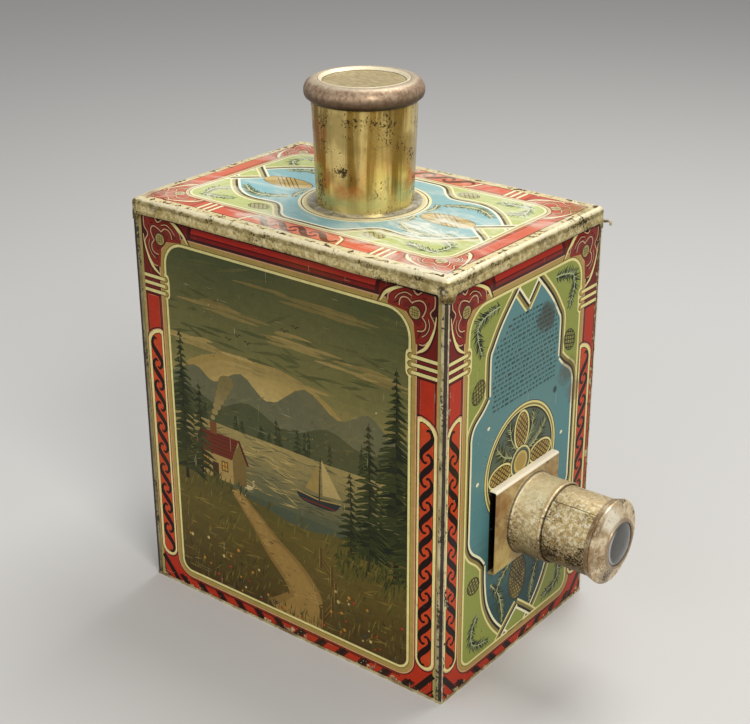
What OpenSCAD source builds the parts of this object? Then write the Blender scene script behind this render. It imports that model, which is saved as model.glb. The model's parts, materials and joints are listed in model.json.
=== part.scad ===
// Tinplate magic lantern: a hinged lamp house with a chimney on its lid, a slide stage and
// drawing objective in front, a condenser behind the stage and a small wick lamp inside.
// Origin: centre of the bottom face. +X is the lens side, +Y the hinge side, +Z up.

/* [Box] */
// Outside length of the lamp house, back to front
body_l = 167.8; // [150:1:200]
// Outside width of the lamp house, side to side
body_w = 111.6; // [100:1:140]
// Height from the base to the top of the closed lid
box_h = 190; // [170:1:220]
// Thickness of the tinplate
sheet = 0.5; // [0.4:0.1:0.7]
// Depth that the walls are pressed in under the rim of the lid
neck_inset = 1.0; // [0.6:0.1:1.4]
// Height of the sloping shoulder below the rim of the lid
shoulder_drop = 4.4; // [3:0.2:7]
// Length of wall left unpressed beside each corner
neck_margin = 15; // [10:1:22]
// Width of each leg of a corner seam
seam_leg = 2.8; // [2:0.2:5]
// Thickness of a corner seam
seam_t = 0.3; // [0.2:0.05:0.3]
// Height of the lip that the base folds up round the walls
base_lip = 1.2; // [0.8:0.1:3]
// Radius of one vent hole in the rear wall
vent_r = 2; // [1:0.25:2.5]
// Distance between vent holes
vent_pitch = 9; // [7:0.5:12]
// Vent holes in a row
vent_count = 7; // [3:1:9]
// Rows of vent holes
vent_rows = 2; // [1:1:3]
// Height of the lowest row of vent holes
vent_z = 14; // [8:1:24]

/* [Lid] */
// Depth of the rim of the lid
lid_rim = 6.6; // [5:0.2:9]
// Clearance between the rim and the walls
lid_fit = 0.6; // [0.3:0.05:0.8]
// Gap between the walls and the underside of the lid
lid_seat = 0.1; // [0.05:0.05:0.2]
// Radius of the rounded top edge of the lid
lid_edge_r = 2.2; // [1.5:0.1:3]
// Length of a corner tab along each side
tab_l = 5; // [3:0.5:9]
// Distance that the corner tabs reach below the rim
tab_drop = 2.8; // [1.5:0.1:4]

/* [Hinge] */
// Radius of the hinge wire
wire_r = 0.6; // [0.5:0.05:0.8]
// Radial clearance of the wire in the lid's knuckles
wire_fit = 0.06; // [0.02:0.01:0.1]
// Distance of the hinge axis outside the rim of the lid
hinge_out = 0.9; // [0.9:0.05:1.2]
// Distance of the hinge axis below the rim of the lid
hinge_drop = 0.7; // [0.6:0.05:1]
// Knuckles along the hinge, an odd number
knuckles = 7; // [5:2:11]
// Length of wall left free at each end of the knuckles
hinge_margin = 10; // [6:1:20]
// Gap between neighbouring knuckles
knuckle_gap = 0.4; // [0.3:0.05:1]
// Length of wire that stands out at the front end
wire_tail = 3; // [1:0.5:5]

/* [Chimney] */
// Outer radius of the chimney where it meets the lid
chimney_foot_r = 20.85; // [19:0.1:23]
// Outer radius of the chimney under its cap
chimney_top_r = 22.25; // [21:0.1:24]
// Height of the chimney tube up to the edge of the cap
chimney_h = 41; // [30:1:60]
// Length of tube hidden inside the cap
chimney_hidden = 5; // [3:0.5:6]
// Radial clearance of the chimney round its collar
chimney_fit = 0.35; // [0.3:0.05:0.6]
// Height of the collar inside the chimney
collar_h = 8; // [5:0.5:14]
// Depth of the collar below the lid
collar_below = 3; // [2:0.5:5]
// Outer radius of the collar's flange on the lid
collar_flange_r = 24.6; // [23:0.1:28]
// Greatest radius of the cap's rounded ring
cap_r = 25.3; // [24.8:0.1:28]
// Height of the cap
cap_h = 11.7; // [10:0.2:16]
// Radius of the rounding of the cap's ring
cap_round = 5; // [4:0.1:5.5]
// Radius of the recessed disc in the cap
disc_r = 19.2; // [17:0.1:20]
// Depth of the recess in the top of the cap
disc_recess = 1.3; // [0.8:0.1:2]
// Width of the bright chamfer round the disc
disc_chamfer = 1.7; // [1:0.1:3]
// Width of the gap that lets smoke out under the cap
smoke_gap = 0.6; // [0.4:0.05:1]
// Legs that hold the cap
cap_legs_n = 3; // [3:1:4]
// Width of a cap leg
cap_leg_w = 5; // [3:0.5:7]
// Length of a cap leg below the disc
cap_leg_l = 15; // [10:0.5:18]

/* [Slide stage] */
// Width of the slide stage
stage_w = 48; // [44:1:60]
// Height of the slide stage
stage_h = 39.4; // [38:0.2:50]
// Height of the middle of the slide stage above the base
stage_z = 68.3; // [60:0.5:90]
// Clear depth for a slide between the front wall and the stage
slide_gap = 3.2; // [2:0.1:6]

/* [Objective] */
// Offset of the lens axis towards the hinge side
lens_y = 2.5; // [-3:0.5:3]
// Height of the lens axis above the middle of the stage
lens_rise = -0.7; // [-0.7:0.1:0.7]
// Outer radius of the fixed tube
socket_r = 17.7; // [16.5:0.1:17.7]
// Length of the fixed tube
socket_l = 15.7; // [12:0.1:24]
// Radius of the bead where the fixed tube meets the stage
socket_foot_r = 18.7; // [18.3:0.1:18.8]
// Width of that bead
socket_foot_w = 1; // [0.6:0.1:1.5]
// Height and half width of the bead at the mouth of the fixed tube
socket_bead = 0.5; // [0.3:0.05:0.8]
// Radial clearance of the draw tube in the fixed tube
draw_fit = 0.3; // [0.3:0.02:0.4]
// Length of the draw tube
draw_l = 34.6; // [28:0.1:50]
// Length of draw tube inside the fixed tube
draw_inside = 10.4; // [8:0.1:11]
// Outer radius of the front flange
bezel_r = 18.4; // [18:0.1:20]
// Width of the front flange at its edge
bezel_w = 1.8; // [1.2:0.1:3]
// Length of the sleeve that grips the draw tube
bezel_sleeve = 3.4; // [2:0.1:6]
// Distance of the lens collar in front of the flange
bezel_rise = 3.9; // [3:0.1:6]
// Outer radius of the lens collar
eye_r = 10.6; // [9:0.1:11]
// Radius of the front lens
front_lens_r = 9.6; // [7:0.1:9.6]
// Radius of curvature of the front lens
front_lens_curve = 24; // [20:1:40]
// Thickness of the rim of the front lens
front_lens_edge = 1.2; // [0.8:0.1:1.6]
// Radius of curvature of the rear lens
rear_lens_curve = 34; // [30:1:60]
// Thickness of the rim of the rear lens
rear_lens_edge = 1.6; // [1:0.1:2.5]
// Width of the rings that hold the lenses
lens_ring_w = 1.4; // [1:0.1:2]
// Thickness of the rings that hold the lenses
lens_ring_t = 1; // [0.6:0.1:1.5]
// Clearance round a piece that is fixed in or on another
seat_fit = 0.05; // [0.02:0.01:0.1]

/* [Condenser] */
// Outer radius of the condenser cell
cell_r = 19.2; // [18.5:0.1:21]
// Length of the condenser cell behind the front wall
cell_l = 13.5; // [12.5:0.5:20]
// Outer radius of the flange of the cell
cell_flange_r = 23; // [21.5:0.5:26]
// Radius of curvature of the condenser lens
condenser_curve = 26; // [24:1:40]
// Thickness of the rim of the condenser lens
condenser_edge = 1.5; // [1:0.1:2]
// Clearance between the bulge of the condenser lens and the front wall
condenser_clear = 1; // [0.5:0.1:2]

/* [Lamp] */
// Length of the tray that carries the lamp
tray_l = 50; // [44:1:60]
// Width of the tray
tray_w = 44; // [42:1:60]
// Thickness of the tray
tray_t = 0.8; // [0.6:0.1:1.2]
// Clearance of the tray in its guides
tray_fit = 0.3; // [0.3:0.05:0.5]
// Length of each guide
guide_l = 72; // [50:1:90]
// Distance that the lip of a guide reaches over the tray
guide_lip = 1.5; // [1:0.1:1.6]
// Outer radius of the oil font
font_r = 19.5; // [16:0.5:20]
// Height of the straight wall of the font
font_h = 22; // [16:0.5:26]
// Height of the sloping shoulder of the font
font_shoulder = 4.5; // [3:0.5:6]
// Outer radius of the screwed collar
screw_r = 9.5; // [8.5:0.1:11]
// Height of the screwed collar
screw_h = 4; // [3:0.5:6]
// Outer radius of the burner body
burner_r = 13; // [12:0.1:14]
// Height of the burner body
burner_h = 10; // [9:0.5:13]
// Radius of an air hole in the burner body
air_r = 0.9; // [0.5:0.1:1.2]
// Height of the air holes above the bottom of the burner body
air_z = 2; // [1.8:0.1:2.4]
// Air holes round the burner body
air_count = 16; // [8:4:20]
// Height of the prongs that hold the glass
gallery_h = 4; // [3:0.5:6]
// Prongs of the gallery
prongs = 8; // [6:2:12]
// Width of the slots between the prongs
prong_slot = 3; // [2:0.5:4]
// Height of the flame deflector
cone_h = 12.5; // [10:0.5:14]
// Radius of the foot of the flame deflector
cone_r = 9.5; // [8.5:0.1:10.5]
// Width of the flat wick
wick_w = 9; // [7:0.5:10]
// Thickness of the wick
wick_t = 1.6; // [1.2:0.1:2]
// Clearance of the wick in its tube
wick_fit = 0.2; // [0.15:0.05:0.3]
// Wall of the wick tube
wick_wall = 0.4; // [0.3:0.05:0.5]
// Length of wick that shows above its tube
wick_shows = 2; // [1:0.5:3]
// Depth of the wick tube inside the font
wick_tube_depth = 4; // [2:0.5:8]
// Distance between the end of the wick and the bottom of the font
wick_clear = 4.5; // [3.5:0.5:8]
// Radius of the two toothed wheels that move the wick
wick_wheel_r = 2; // [1.6:0.1:2.4]
// Gap between the wheels and the wick
wheel_gap = 0.1; // [0.05:0.01:0.2]
// Teeth of each wheel
wheel_teeth = 10; // [8:1:14]
// Width of each wheel
wheel_w = 1.4; // [1:0.1:2]
// Radius of the wick spindle
spindle_r = 0.7; // [0.5:0.05:0.9]
// Radial clearance of the spindle in its bearings
spindle_fit = 0.08; // [0.03:0.01:0.1]
// Radius of the wick knob
knob_r = 5; // [4:0.5:7]
// Width of the wick knob
knob_w = 2.5; // [2:0.5:4]
// Distance of the knob outside the burner body
knob_out = 4; // [2:0.5:8]
// Ribs round the knob
knob_ribs = 24; // [16:2:36]
// Wall of the glass chimney
glass_t = 1.2; // [1:0.1:1.6]
// Greatest radius of the glass chimney
glass_bulge_r = 17; // [15:0.5:18]
// Radius of the glass chimney at its top
glass_top_r = 11; // [10:0.5:13]
// Length of the glass chimney
glass_l = 112; // [90:1:118]
// Clearance of the glass chimney in the gallery
glass_fit = 0.35; // [0.3:0.05:0.6]
// Radius of the reflector
reflector_r = 22; // [18:0.5:24]
// Radius of curvature of the reflector
reflector_curve = 48; // [40:1:80]
// Distance from the flame to the back of the reflector
reflector_back = 31; // [29:0.5:36]
// Width of the reflector arm
arm_w = 6; // [4:0.5:8]
// Thickness of the reflector arm
arm_t = 0.8; // [0.6:0.1:1.2]
// Radius of the boss on the back of the reflector
boss_r = 4; // [3:0.5:6]

/* [Hidden] */
$fn = 96;

// A cut runs this far past the face that it opens
past = 1;
front_x = body_l / 2;
side_y = body_w / 2;

// Inside, the rounding of the lid's edge is limited so that the corners of the walls clear it
lid_inner_r = min(lid_edge_r - sheet, (lid_fit - lid_seat) / (1 - sqrt(0.5)));
// How far the rounded corner of the lid comes down over the corner of the walls
lid_edge_drop = lid_inner_r - sqrt(pow(lid_inner_r, 2) - 2 * pow(max(0, lid_inner_r - lid_fit), 2));
wall_top = box_h - sheet - lid_edge_drop - lid_seat;
rim_z = box_h - lid_rim;
// The pressed neck starts this far below the rim
neck_start = 0.6;
seam_top = rim_z - tab_drop - lid_fit;

lid_out = lid_fit + sheet;
hinge_y = side_y + lid_out + hinge_out;
hinge_z = rim_z - hinge_drop;
knuckle_r = wire_r + wire_fit + sheet;
hinge_len = body_l - 2 * hinge_margin;
knuckle_pitch = hinge_len / knuckles;
// Clearance of the lid round the knuckles of the wall
knuckle_clear = 0.3;
// Length and lean of the bent end of the hinge wire
tail_bend = 2.2;
tail_lean = 50;

collar_r = chimney_foot_r - sheet - chimney_fit;
flange_top = box_h + sheet;
cap_z = flange_top + chimney_h;
cap_top = cap_z + cap_h;
tube_top = cap_z + chimney_hidden;
chimney_slope = (chimney_top_r - chimney_foot_r) / chimney_h;
disc_z = cap_top - disc_recess - sheet;

plate_x = front_x + slide_gap;
socket_x = plate_x + sheet;
lens_z = stage_z + lens_rise;
socket_bore = socket_r - sheet;
draw_r = socket_bore - draw_fit;
draw_bore = draw_r - sheet;
draw_x = socket_x + socket_l - draw_inside;
bezel_x = draw_x + draw_l;
eye_x = bezel_x + bezel_rise;
front_lip_r = front_lens_r - lens_ring_t;
rear_lens_r = draw_bore - seat_fit;
rear_lens_x = draw_x + lens_ring_t;
gate_r = draw_bore - lens_ring_w;

cell_bore = cell_r - sheet;
condenser_r = cell_bore - seat_fit;
cell_lip_r = cell_bore - lens_ring_w / 2;
condenser_depth = condenser_clear + sag(condenser_r, condenser_curve) + condenser_edge;
wall_in_x = front_x - sheet;

lamp_z = sheet + lid_seat;
tray_top = lamp_z + tray_t;
font_top = tray_top + font_h;
neck_z = font_top + font_shoulder;
screw_top = neck_z + screw_h;
burner_top = screw_top + burner_h;
gallery_top = burner_top + sheet;
cone_top = gallery_top + cone_h;
tube_out_w = wick_w + 2 * (wick_fit + wick_wall);
tube_out_t = wick_t + 2 * (wick_fit + wick_wall);
font_neck_r = norm([tube_out_w, tube_out_t]) / 2 + 1;
wick_tube_top = cone_top - 3;
spindle_x = -(wick_t / 2 + wheel_gap + wick_wheel_r);
spindle_z = screw_top + burner_h / 2;
knob_y = burner_r + knob_out;
gallery_r = burner_r + glass_t;
glass_r = gallery_r - sheet - glass_fit;
glass_z = gallery_top + lid_seat;
boss_x = -reflector_back;

// Height of a lens's bulge above its rim
function sag(r, curve) = curve - sqrt(curve * curve - r * r);

// Distance from the rim of a lens to a lip of radius lip_r that its bulge rests against
function lip_gap(r, curve, lip_r) = sag(r, curve) - sag(lip_r, curve) + seat_fit;

// Puts a shape drawn along +Z on the lens axis, pointing forwards from x
module on_lens_axis(x) {
    translate([x, lens_y, lens_z]) rotate([0, 90, 0]) children();
}

// Puts the lamp's own axis under the chimney and in line with the lenses
module at_lamp() {
    translate([0, lens_y, 0]) children();
}

module ring(outer, inner, h) {
    difference() {
        cylinder(r = outer, h = h);
        translate([0, 0, -past]) cylinder(r = inner, h = h + 2 * past);
    }
}

module block(size, at) {
    translate(at) cube(size);
}

// Slab with rounded top edges, from its bottom at z = 0 to its top at z = h
module rounded_slab(l, w, h, r) {
    hull() {
        for (x = [-1, 1], y = [-1, 1])
            translate([x * (l / 2 - r), y * (w / 2 - r), 0]) {
                cylinder(r = r, h = h - r, $fn = 32);
                translate([0, 0, h - r]) sphere(r = r, $fn = 32);
            }
    }
}

// One wall, standing on the base, its outer face at y = 0 and facing -Y, from x = 0 to l
module wall(l) {
    top = wall_top - sheet;
    low = rim_z - shoulder_drop - sheet;
    high = rim_z - neck_start - sheet;
    translate([0, 0, sheet]) {
        cube([l, sheet, low]);
        block([neck_margin, sheet, top - low], [0, 0, low]);
        block([neck_margin, sheet, top - low], [l - neck_margin, 0, low]);
        translate([neck_margin, 0, 0]) rotate([90, 0, 90]) linear_extrude(l - 2 * neck_margin)
            polygon([
                [0, low], [neck_inset, high], [neck_inset, top], [neck_inset + sheet, top],
                [neck_inset + sheet, high], [sheet, low]
            ]);
        for (x = [neck_margin - sheet, l - neck_margin])
            translate([x, 0, 0]) rotate([90, 0, 90]) linear_extrude(sheet)
                polygon([
                    [0, low], [0, top], [neck_inset + sheet, top],
                    [neck_inset + sheet, high], [sheet, low]
                ]);
    }
}

module base_pan() {
    lip_l = body_l + 2 * seam_t;
    lip_w = body_w + 2 * seam_t;
    color("darkkhaki") difference() {
        block([lip_l, lip_w, base_lip], [-lip_l / 2, -lip_w / 2, 0]);
        block([body_l, body_w, base_lip], [-front_x, -side_y, sheet]);
    }
}

module front_panel() {
    color("firebrick") difference() {
        translate([front_x, -side_y + sheet, 0]) rotate([0, 0, 90]) wall(body_w - 2 * sheet);
        on_lens_axis(wall_in_x - past) cylinder(r = gate_r, h = sheet + 2 * past);
    }
}

module rear_panel() {
    color("firebrick") difference() {
        translate([-front_x, side_y - sheet, 0]) rotate([0, 0, -90]) wall(body_w - 2 * sheet);
        for (row = [0 : vent_rows - 1], i = [0 : vent_count - 1])
            translate([-front_x - past, (i - (vent_count - 1) / 2) * vent_pitch, vent_z + row * vent_pitch])
                rotate([0, 90, 0]) cylinder(r = vent_r, h = sheet + 2 * past);
    }
}

module picture_panel() {
    color("olive") translate([-front_x, -side_y, 0]) wall(body_l);
}

// Places one knuckle: even ones belong to the wall, odd ones to the lid
module each_knuckle(first) {
    for (i = [first : 2 : knuckles - 1])
        translate([-hinge_len / 2 + i * knuckle_pitch + knuckle_gap / 2, hinge_y, hinge_z]) children();
}

module along_hinge(r, l) {
    rotate([0, 90, 0]) cylinder(r = r, h = l);
}

module hinge_panel() {
    l = knuckle_pitch - knuckle_gap;
    reach = hinge_y - side_y + neck_inset + sheet / 2;
    color("firebrick") {
        translate([front_x, side_y, 0]) rotate([0, 0, 180]) wall(body_l);
        each_knuckle(0) difference() {
            union() {
                along_hinge(knuckle_r, l);
                block([l, reach, sheet], [0, -reach, -knuckle_r]);
            }
            translate([-past, 0, 0]) along_hinge(wire_r + wire_fit, l + 2 * past);
        }
    }
}

module corner_seams() {
    height = seam_top - base_lip;
    color("tan") for (x = [-1, 1], y = [-1, 1])
        scale([x, y, 1]) translate([front_x - seam_leg, side_y - seam_leg, base_lip]) difference() {
            cube([seam_leg + seam_t, seam_leg + seam_t, height]);
            block([seam_leg + past, seam_leg + past, height + 2 * past], [-past, -past, -past]);
        }
}

module hinge_wire() {
    l = body_l + wire_tail;
    color("dimgray") translate([-front_x, hinge_y, hinge_z]) {
        along_hinge(wire_r, l);
        translate([l, 0, 0]) {
            sphere(r = wire_r);
            rotate([0, tail_lean, 0]) cylinder(r = wire_r, h = tail_bend);
        }
    }
}

module lid_shell() {
    l = body_l + 2 * lid_out;
    w = body_w + 2 * lid_out;
    skirt = lid_rim + tab_drop;
    knuckle_l = knuckle_pitch - knuckle_gap;
    color("indianred") {
        difference() {
            translate([0, 0, box_h - skirt]) difference() {
                rounded_slab(l, w, skirt, lid_edge_r);
                translate([0, 0, -past])
                    rounded_slab(l - 2 * sheet, w - 2 * sheet, skirt - sheet + past, lid_inner_r);
            }
            // Between the corner tabs the rim is shorter
            block([l - 2 * tab_l, w + 2 * past, 2 * tab_drop],
                [-l / 2 + tab_l, -w / 2 - past, rim_z - 2 * tab_drop]);
            block([l + 2 * past, w - 2 * tab_l, 2 * tab_drop],
                [-l / 2 - past, -w / 2 + tab_l, rim_z - 2 * tab_drop]);
            // No tab stands on the hinge side, where it would foul the wall
            block([l + 2 * past, lid_out + neck_inset + past, 2 * tab_drop],
                [-l / 2 - past, side_y - neck_inset, rim_z - 2 * tab_drop]);
            translate([0, 0, box_h - lid_rim]) cylinder(r = collar_r + seat_fit, h = lid_rim + past);
            each_knuckle(0) translate([-knuckle_clear - knuckle_gap / 2, 0, 0])
                along_hinge(knuckle_r + knuckle_clear, knuckle_l + 2 * knuckle_clear + knuckle_gap);
        }
        each_knuckle(1) difference() {
            union() {
                along_hinge(knuckle_r, knuckle_l);
                block([knuckle_l, hinge_out + sheet, knuckle_r - wire_r - wire_fit],
                    [0, -hinge_out - sheet, wire_r + wire_fit]);
            }
            translate([-past, 0, 0]) along_hinge(wire_r + wire_fit, knuckle_l + 2 * past);
        }
    }
}

module chimney_collar() {
    color("darkgoldenrod") {
        translate([0, 0, box_h - sheet - collar_below])
            ring(collar_r, collar_r - sheet, sheet + collar_below + collar_h);
        translate([0, 0, box_h]) ring(collar_flange_r, collar_r - sheet / 2, sheet);
    }
}

function chimney_r(z) = chimney_foot_r + (z - flange_top) * chimney_slope;

module chimney_tube() {
    color("goldenrod") rotate_extrude() polygon([
        [chimney_r(flange_top), flange_top], [chimney_r(tube_top), tube_top],
        [chimney_r(tube_top) - sheet, tube_top], [chimney_r(flange_top) - sheet, flange_top]
    ]);
}

// Section of the cap's ring, its surface moved in by t
function cap_section(t) = [
    [disc_r + seat_fit, cap_top - t],
    for (a = [90 : -15 : -15])
        [cap_r - cap_round + (cap_round - t) * cos(a), cap_top - cap_round + (cap_round - t) * sin(a)],
    [chimney_r(cap_z) + smoke_gap - t * 0.4, cap_z + t * 0.4]
];

module cap_ring() {
    inner = cap_section(sheet);
    color("saddlebrown") rotate_extrude() polygon(concat(
        cap_section(0), [for (i = [len(inner) - 1 : -1 : 0]) inner[i]]
    ));
}

module cap_disc() {
    flat_r = disc_r - disc_chamfer;
    color("tan") rotate_extrude() polygon([
        [0, disc_z], [flat_r + sheet / 2, disc_z], [disc_r, cap_top - 2 * sheet], [disc_r, cap_top],
        [flat_r, disc_z + sheet], [0, disc_z + sheet]
    ]);
}

module cap_legs() {
    leg_z = disc_z - cap_leg_l;
    leg_r = sqrt(pow(chimney_r(leg_z) - sheet - seat_fit, 2) - pow(cap_leg_w / 2, 2));
    foot_r = disc_r - disc_chamfer - cap_leg_w;
    color("peru") for (i = [0 : cap_legs_n - 1]) rotate([0, 0, 60 + i * 360 / cap_legs_n]) {
        block([sheet, cap_leg_w, cap_leg_l], [leg_r - sheet, -cap_leg_w / 2, leg_z]);
        block([leg_r - foot_r, cap_leg_w, sheet], [foot_r, -cap_leg_w / 2, disc_z - sheet]);
    }
}

module slide_stage() {
    depth = slide_gap + sheet;
    color("burlywood") difference() {
        block([depth, stage_w, stage_h], [front_x, -stage_w / 2, stage_z - stage_h / 2]);
        block([slide_gap + past, stage_w + 2 * past, stage_h - 2 * sheet],
            [front_x - past, -stage_w / 2 - past, stage_z - stage_h / 2 + sheet]);
        on_lens_axis(front_x) cylinder(r = gate_r, h = depth + past);
    }
}

module objective_socket() {
    bead = 2 * socket_bead;
    color("wheat") on_lens_axis(socket_x) rotate_extrude() polygon([
        [socket_bore, 0], [socket_foot_r, 0], [socket_foot_r, socket_foot_w],
        [socket_r, socket_foot_w + sheet], [socket_r, socket_l - bead - sheet],
        [socket_r + socket_bead, socket_l - bead], [socket_r + socket_bead, socket_l - sheet],
        [socket_r, socket_l], [socket_bore, socket_l]
    ]);
}

module draw_tube() {
    color("wheat") on_lens_axis(draw_x) ring(draw_r, draw_bore, draw_l);
}

// Flange, dished front and raised eye in one spun piece
module objective_bezel() {
    sleeve_r = draw_r + seat_fit;
    lip_z = bezel_rise - front_lens_edge - sheet - lip_gap(front_lens_r, front_lens_curve, front_lip_r);
    color("wheat") on_lens_axis(bezel_x) rotate_extrude() polygon([
        [sleeve_r, -bezel_sleeve], [sleeve_r + sheet, -bezel_sleeve], [sleeve_r + sheet, -bezel_w / 2],
        [bezel_r - sheet, -bezel_w / 2], [bezel_r, 0], [bezel_r - sheet, bezel_w / 2],
        [bezel_r - 2 * sheet, bezel_w / 2 + sheet], [eye_r, bezel_rise - sheet],
        [eye_r, bezel_rise], [front_lens_r + seat_fit, bezel_rise],
        [front_lens_r + seat_fit, lip_z], [front_lip_r, lip_z], [front_lip_r, lip_z - sheet],
        [eye_r, lip_z - sheet], [sleeve_r, seat_fit]
    ]);
}

// Lens with a cylindrical rim from z = 0 to edge, bulging on one side or on both
module lens(r, curve, edge, both) {
    bulge = sag(r, curve);
    back = both ? bulge : 0;
    intersection() {
        translate([0, 0, -back]) cylinder(r = r, h = edge + bulge + back);
        translate([0, 0, edge + bulge - curve]) sphere(r = curve);
        if (both) translate([0, 0, curve - bulge]) sphere(r = curve);
    }
}

module front_lens() {
    color("lightblue", 0.5) on_lens_axis(eye_x - front_lens_edge - sheet)
        lens(front_lens_r, front_lens_curve, front_lens_edge, true);
}

module rear_lens() {
    color("lightblue", 0.5) on_lens_axis(rear_lens_x)
        lens(rear_lens_r, rear_lens_curve, rear_lens_edge, false);
}

module rear_lens_ring() {
    color("gray") on_lens_axis(draw_x) ring(rear_lens_r, gate_r, lens_ring_t);
}

module condenser_cell() {
    stop = condenser_depth - condenser_edge - lip_gap(condenser_r, condenser_curve, cell_lip_r);
    color("silver") on_lens_axis(wall_in_x) rotate([180, 0, 0]) rotate_extrude() polygon([
        [cell_bore, 0], [cell_flange_r, 0], [cell_flange_r, sheet], [cell_r, sheet],
        [cell_r, cell_l], [cell_bore, cell_l], [cell_bore, stop],
        [cell_lip_r, stop], [cell_lip_r, stop - sheet],
        [cell_bore, stop - sheet]
    ]);
}

module condenser_lens() {
    color("lightblue", 0.5) on_lens_axis(wall_in_x - condenser_depth)
        lens(condenser_r, condenser_curve, condenser_edge, false);
}

module condenser_ring() {
    color("gray") on_lens_axis(wall_in_x - condenser_depth - lens_ring_t)
        ring(condenser_r, condenser_r - lens_ring_w, lens_ring_t);
}

module lamp_guides() {
    inner = tray_w / 2 + tray_fit;
    height = tray_top + tray_fit - sheet;
    color("gray") at_lamp() for (side = [-1, 1]) scale([1, side, 1]) translate([-guide_l / 2, inner, sheet]) {
        cube([guide_l, sheet, height + sheet]);
        block([guide_l, guide_lip + tray_fit + sheet, sheet], [0, -guide_lip - tray_fit, height]);
    }
}

module lamp_tray() {
    color("gray") at_lamp() block([tray_l, tray_w, tray_t], [-tray_l / 2, -tray_w / 2, lamp_z]);
}

module lamp_font() {
    color("darkgray") at_lamp() rotate_extrude() polygon([
        [0, tray_top], [font_r, tray_top], [font_r, font_top], [screw_r, neck_z],
        [font_neck_r, neck_z], [font_neck_r, neck_z - sheet], [screw_r - sheet, neck_z - sheet],
        [font_r - sheet, font_top - sheet], [font_r - sheet, tray_top + sheet], [0, tray_top + sheet]
    ]);
}

module screw_collar() {
    color("goldenrod") at_lamp() translate([0, 0, neck_z]) ring(screw_r, font_neck_r, screw_h);
}

// Slot for the wick tube, standing on z = 0
module wick_tube_slot(h) {
    w = tube_out_w + 2 * seat_fit;
    t = tube_out_t + 2 * seat_fit;
    block([t, w, h], [-t / 2, -w / 2, 0]);
}

module burner_body() {
    color("goldenrod") at_lamp() translate([0, 0, screw_top]) difference() {
        cylinder(r = burner_r, h = burner_h);
        translate([0, 0, sheet]) cylinder(r = burner_r - sheet, h = burner_h);
        translate([0, 0, -past]) wick_tube_slot(burner_h);
        for (i = [0 : air_count - 1]) rotate([0, 0, (i + 0.5) * 360 / air_count])
            translate([burner_r - 2 * sheet, 0, air_z]) rotate([0, 90, 0])
                cylinder(r = air_r, h = 2 * sheet + past);
        translate([spindle_x, burner_r / 2, spindle_z - screw_top]) rotate([-90, 0, 0])
            cylinder(r = spindle_r + spindle_fit, h = burner_r);
    }
}

module burner_gallery() {
    color("goldenrod") at_lamp() translate([0, 0, burner_top]) difference() {
        cylinder(r = gallery_r, h = sheet + gallery_h);
        translate([0, 0, sheet]) cylinder(r = gallery_r - sheet, h = gallery_h + past);
        translate([0, 0, -past]) wick_tube_slot(burner_h);
        for (i = [0 : prongs - 1]) rotate([0, 0, i * 360 / prongs])
            block([gallery_r + past, prong_slot, gallery_h + past], [0, -prong_slot / 2, 2 * sheet]);
    }
}

module flame_deflector() {
    slot_w = tube_out_w + 1;
    slot_t = tube_out_t + 2;
    crown_r = slot_w / 2 + sheet;
    color("goldenrod") at_lamp() translate([0, 0, gallery_top]) difference() {
        rotate_extrude() polygon([
            [cone_r, 0], [cone_r, cone_h / 2], [crown_r, cone_h], [0, cone_h], [0, cone_h - sheet],
            [crown_r - sheet, cone_h - sheet], [cone_r - sheet, cone_h / 2 - sheet], [cone_r - sheet, 0]
        ]);
        block([slot_t, slot_w, cone_h], [-slot_t / 2, -slot_w / 2, cone_h - 2 * sheet]);
    }
}

module wick_tube() {
    low = neck_z - wick_tube_depth;
    inner_w = wick_w + 2 * wick_fit;
    inner_t = wick_t + 2 * wick_fit;
    window = 2 * wick_wheel_r + 1;
    color("goldenrod") at_lamp() difference() {
        block([tube_out_t, tube_out_w, wick_tube_top - low], [-tube_out_t / 2, -tube_out_w / 2, low]);
        block([inner_t, inner_w, wick_tube_top - low + 2 * past], [-inner_t / 2, -inner_w / 2, low - past]);
        // Windows for the two toothed wheels
        for (side = [-1, 1]) translate([spindle_x, side * wick_w / 4, spindle_z])
            cube([2 * (wick_wheel_r + wheel_gap), wheel_w + 2 * wick_fit, window], center = true);
    }
}

module wick() {
    low = tray_top + sheet + wick_clear;
    color("ivory") at_lamp() block([wick_t, wick_w, wick_tube_top + wick_shows - low],
        [-wick_t / 2, -wick_w / 2, low]);
}

// Outline with n pointed teeth
module toothed(outer, depth, n) {
    polygon([for (i = [0 : 2 * n - 1])
        (i % 2 == 0 ? outer : outer - depth) * [cos(i * 180 / n), sin(i * 180 / n)]]);
}

module on_spindle(y) {
    at_lamp() translate([spindle_x, y, spindle_z]) rotate([-90, 0, 0]) children();
}

module wick_spindle() {
    inner_end = wick_w / 4 + wheel_w;
    color("darkgoldenrod") {
        on_spindle(-inner_end) cylinder(r = spindle_r, h = inner_end + knob_y + knob_w);
        for (side = [-1, 1]) on_spindle(side * wick_w / 4 - wheel_w / 2)
            linear_extrude(wheel_w) toothed(wick_wheel_r, wick_wheel_r * 0.3, wheel_teeth);
    }
}

module wick_knob() {
    color("darkgoldenrod") on_spindle(knob_y) difference() {
        linear_extrude(knob_w) toothed(knob_r, 2 * wheel_gap, knob_ribs);
        translate([0, 0, -past]) cylinder(r = spindle_r, h = knob_w + 2 * past);
    }
}

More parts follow.
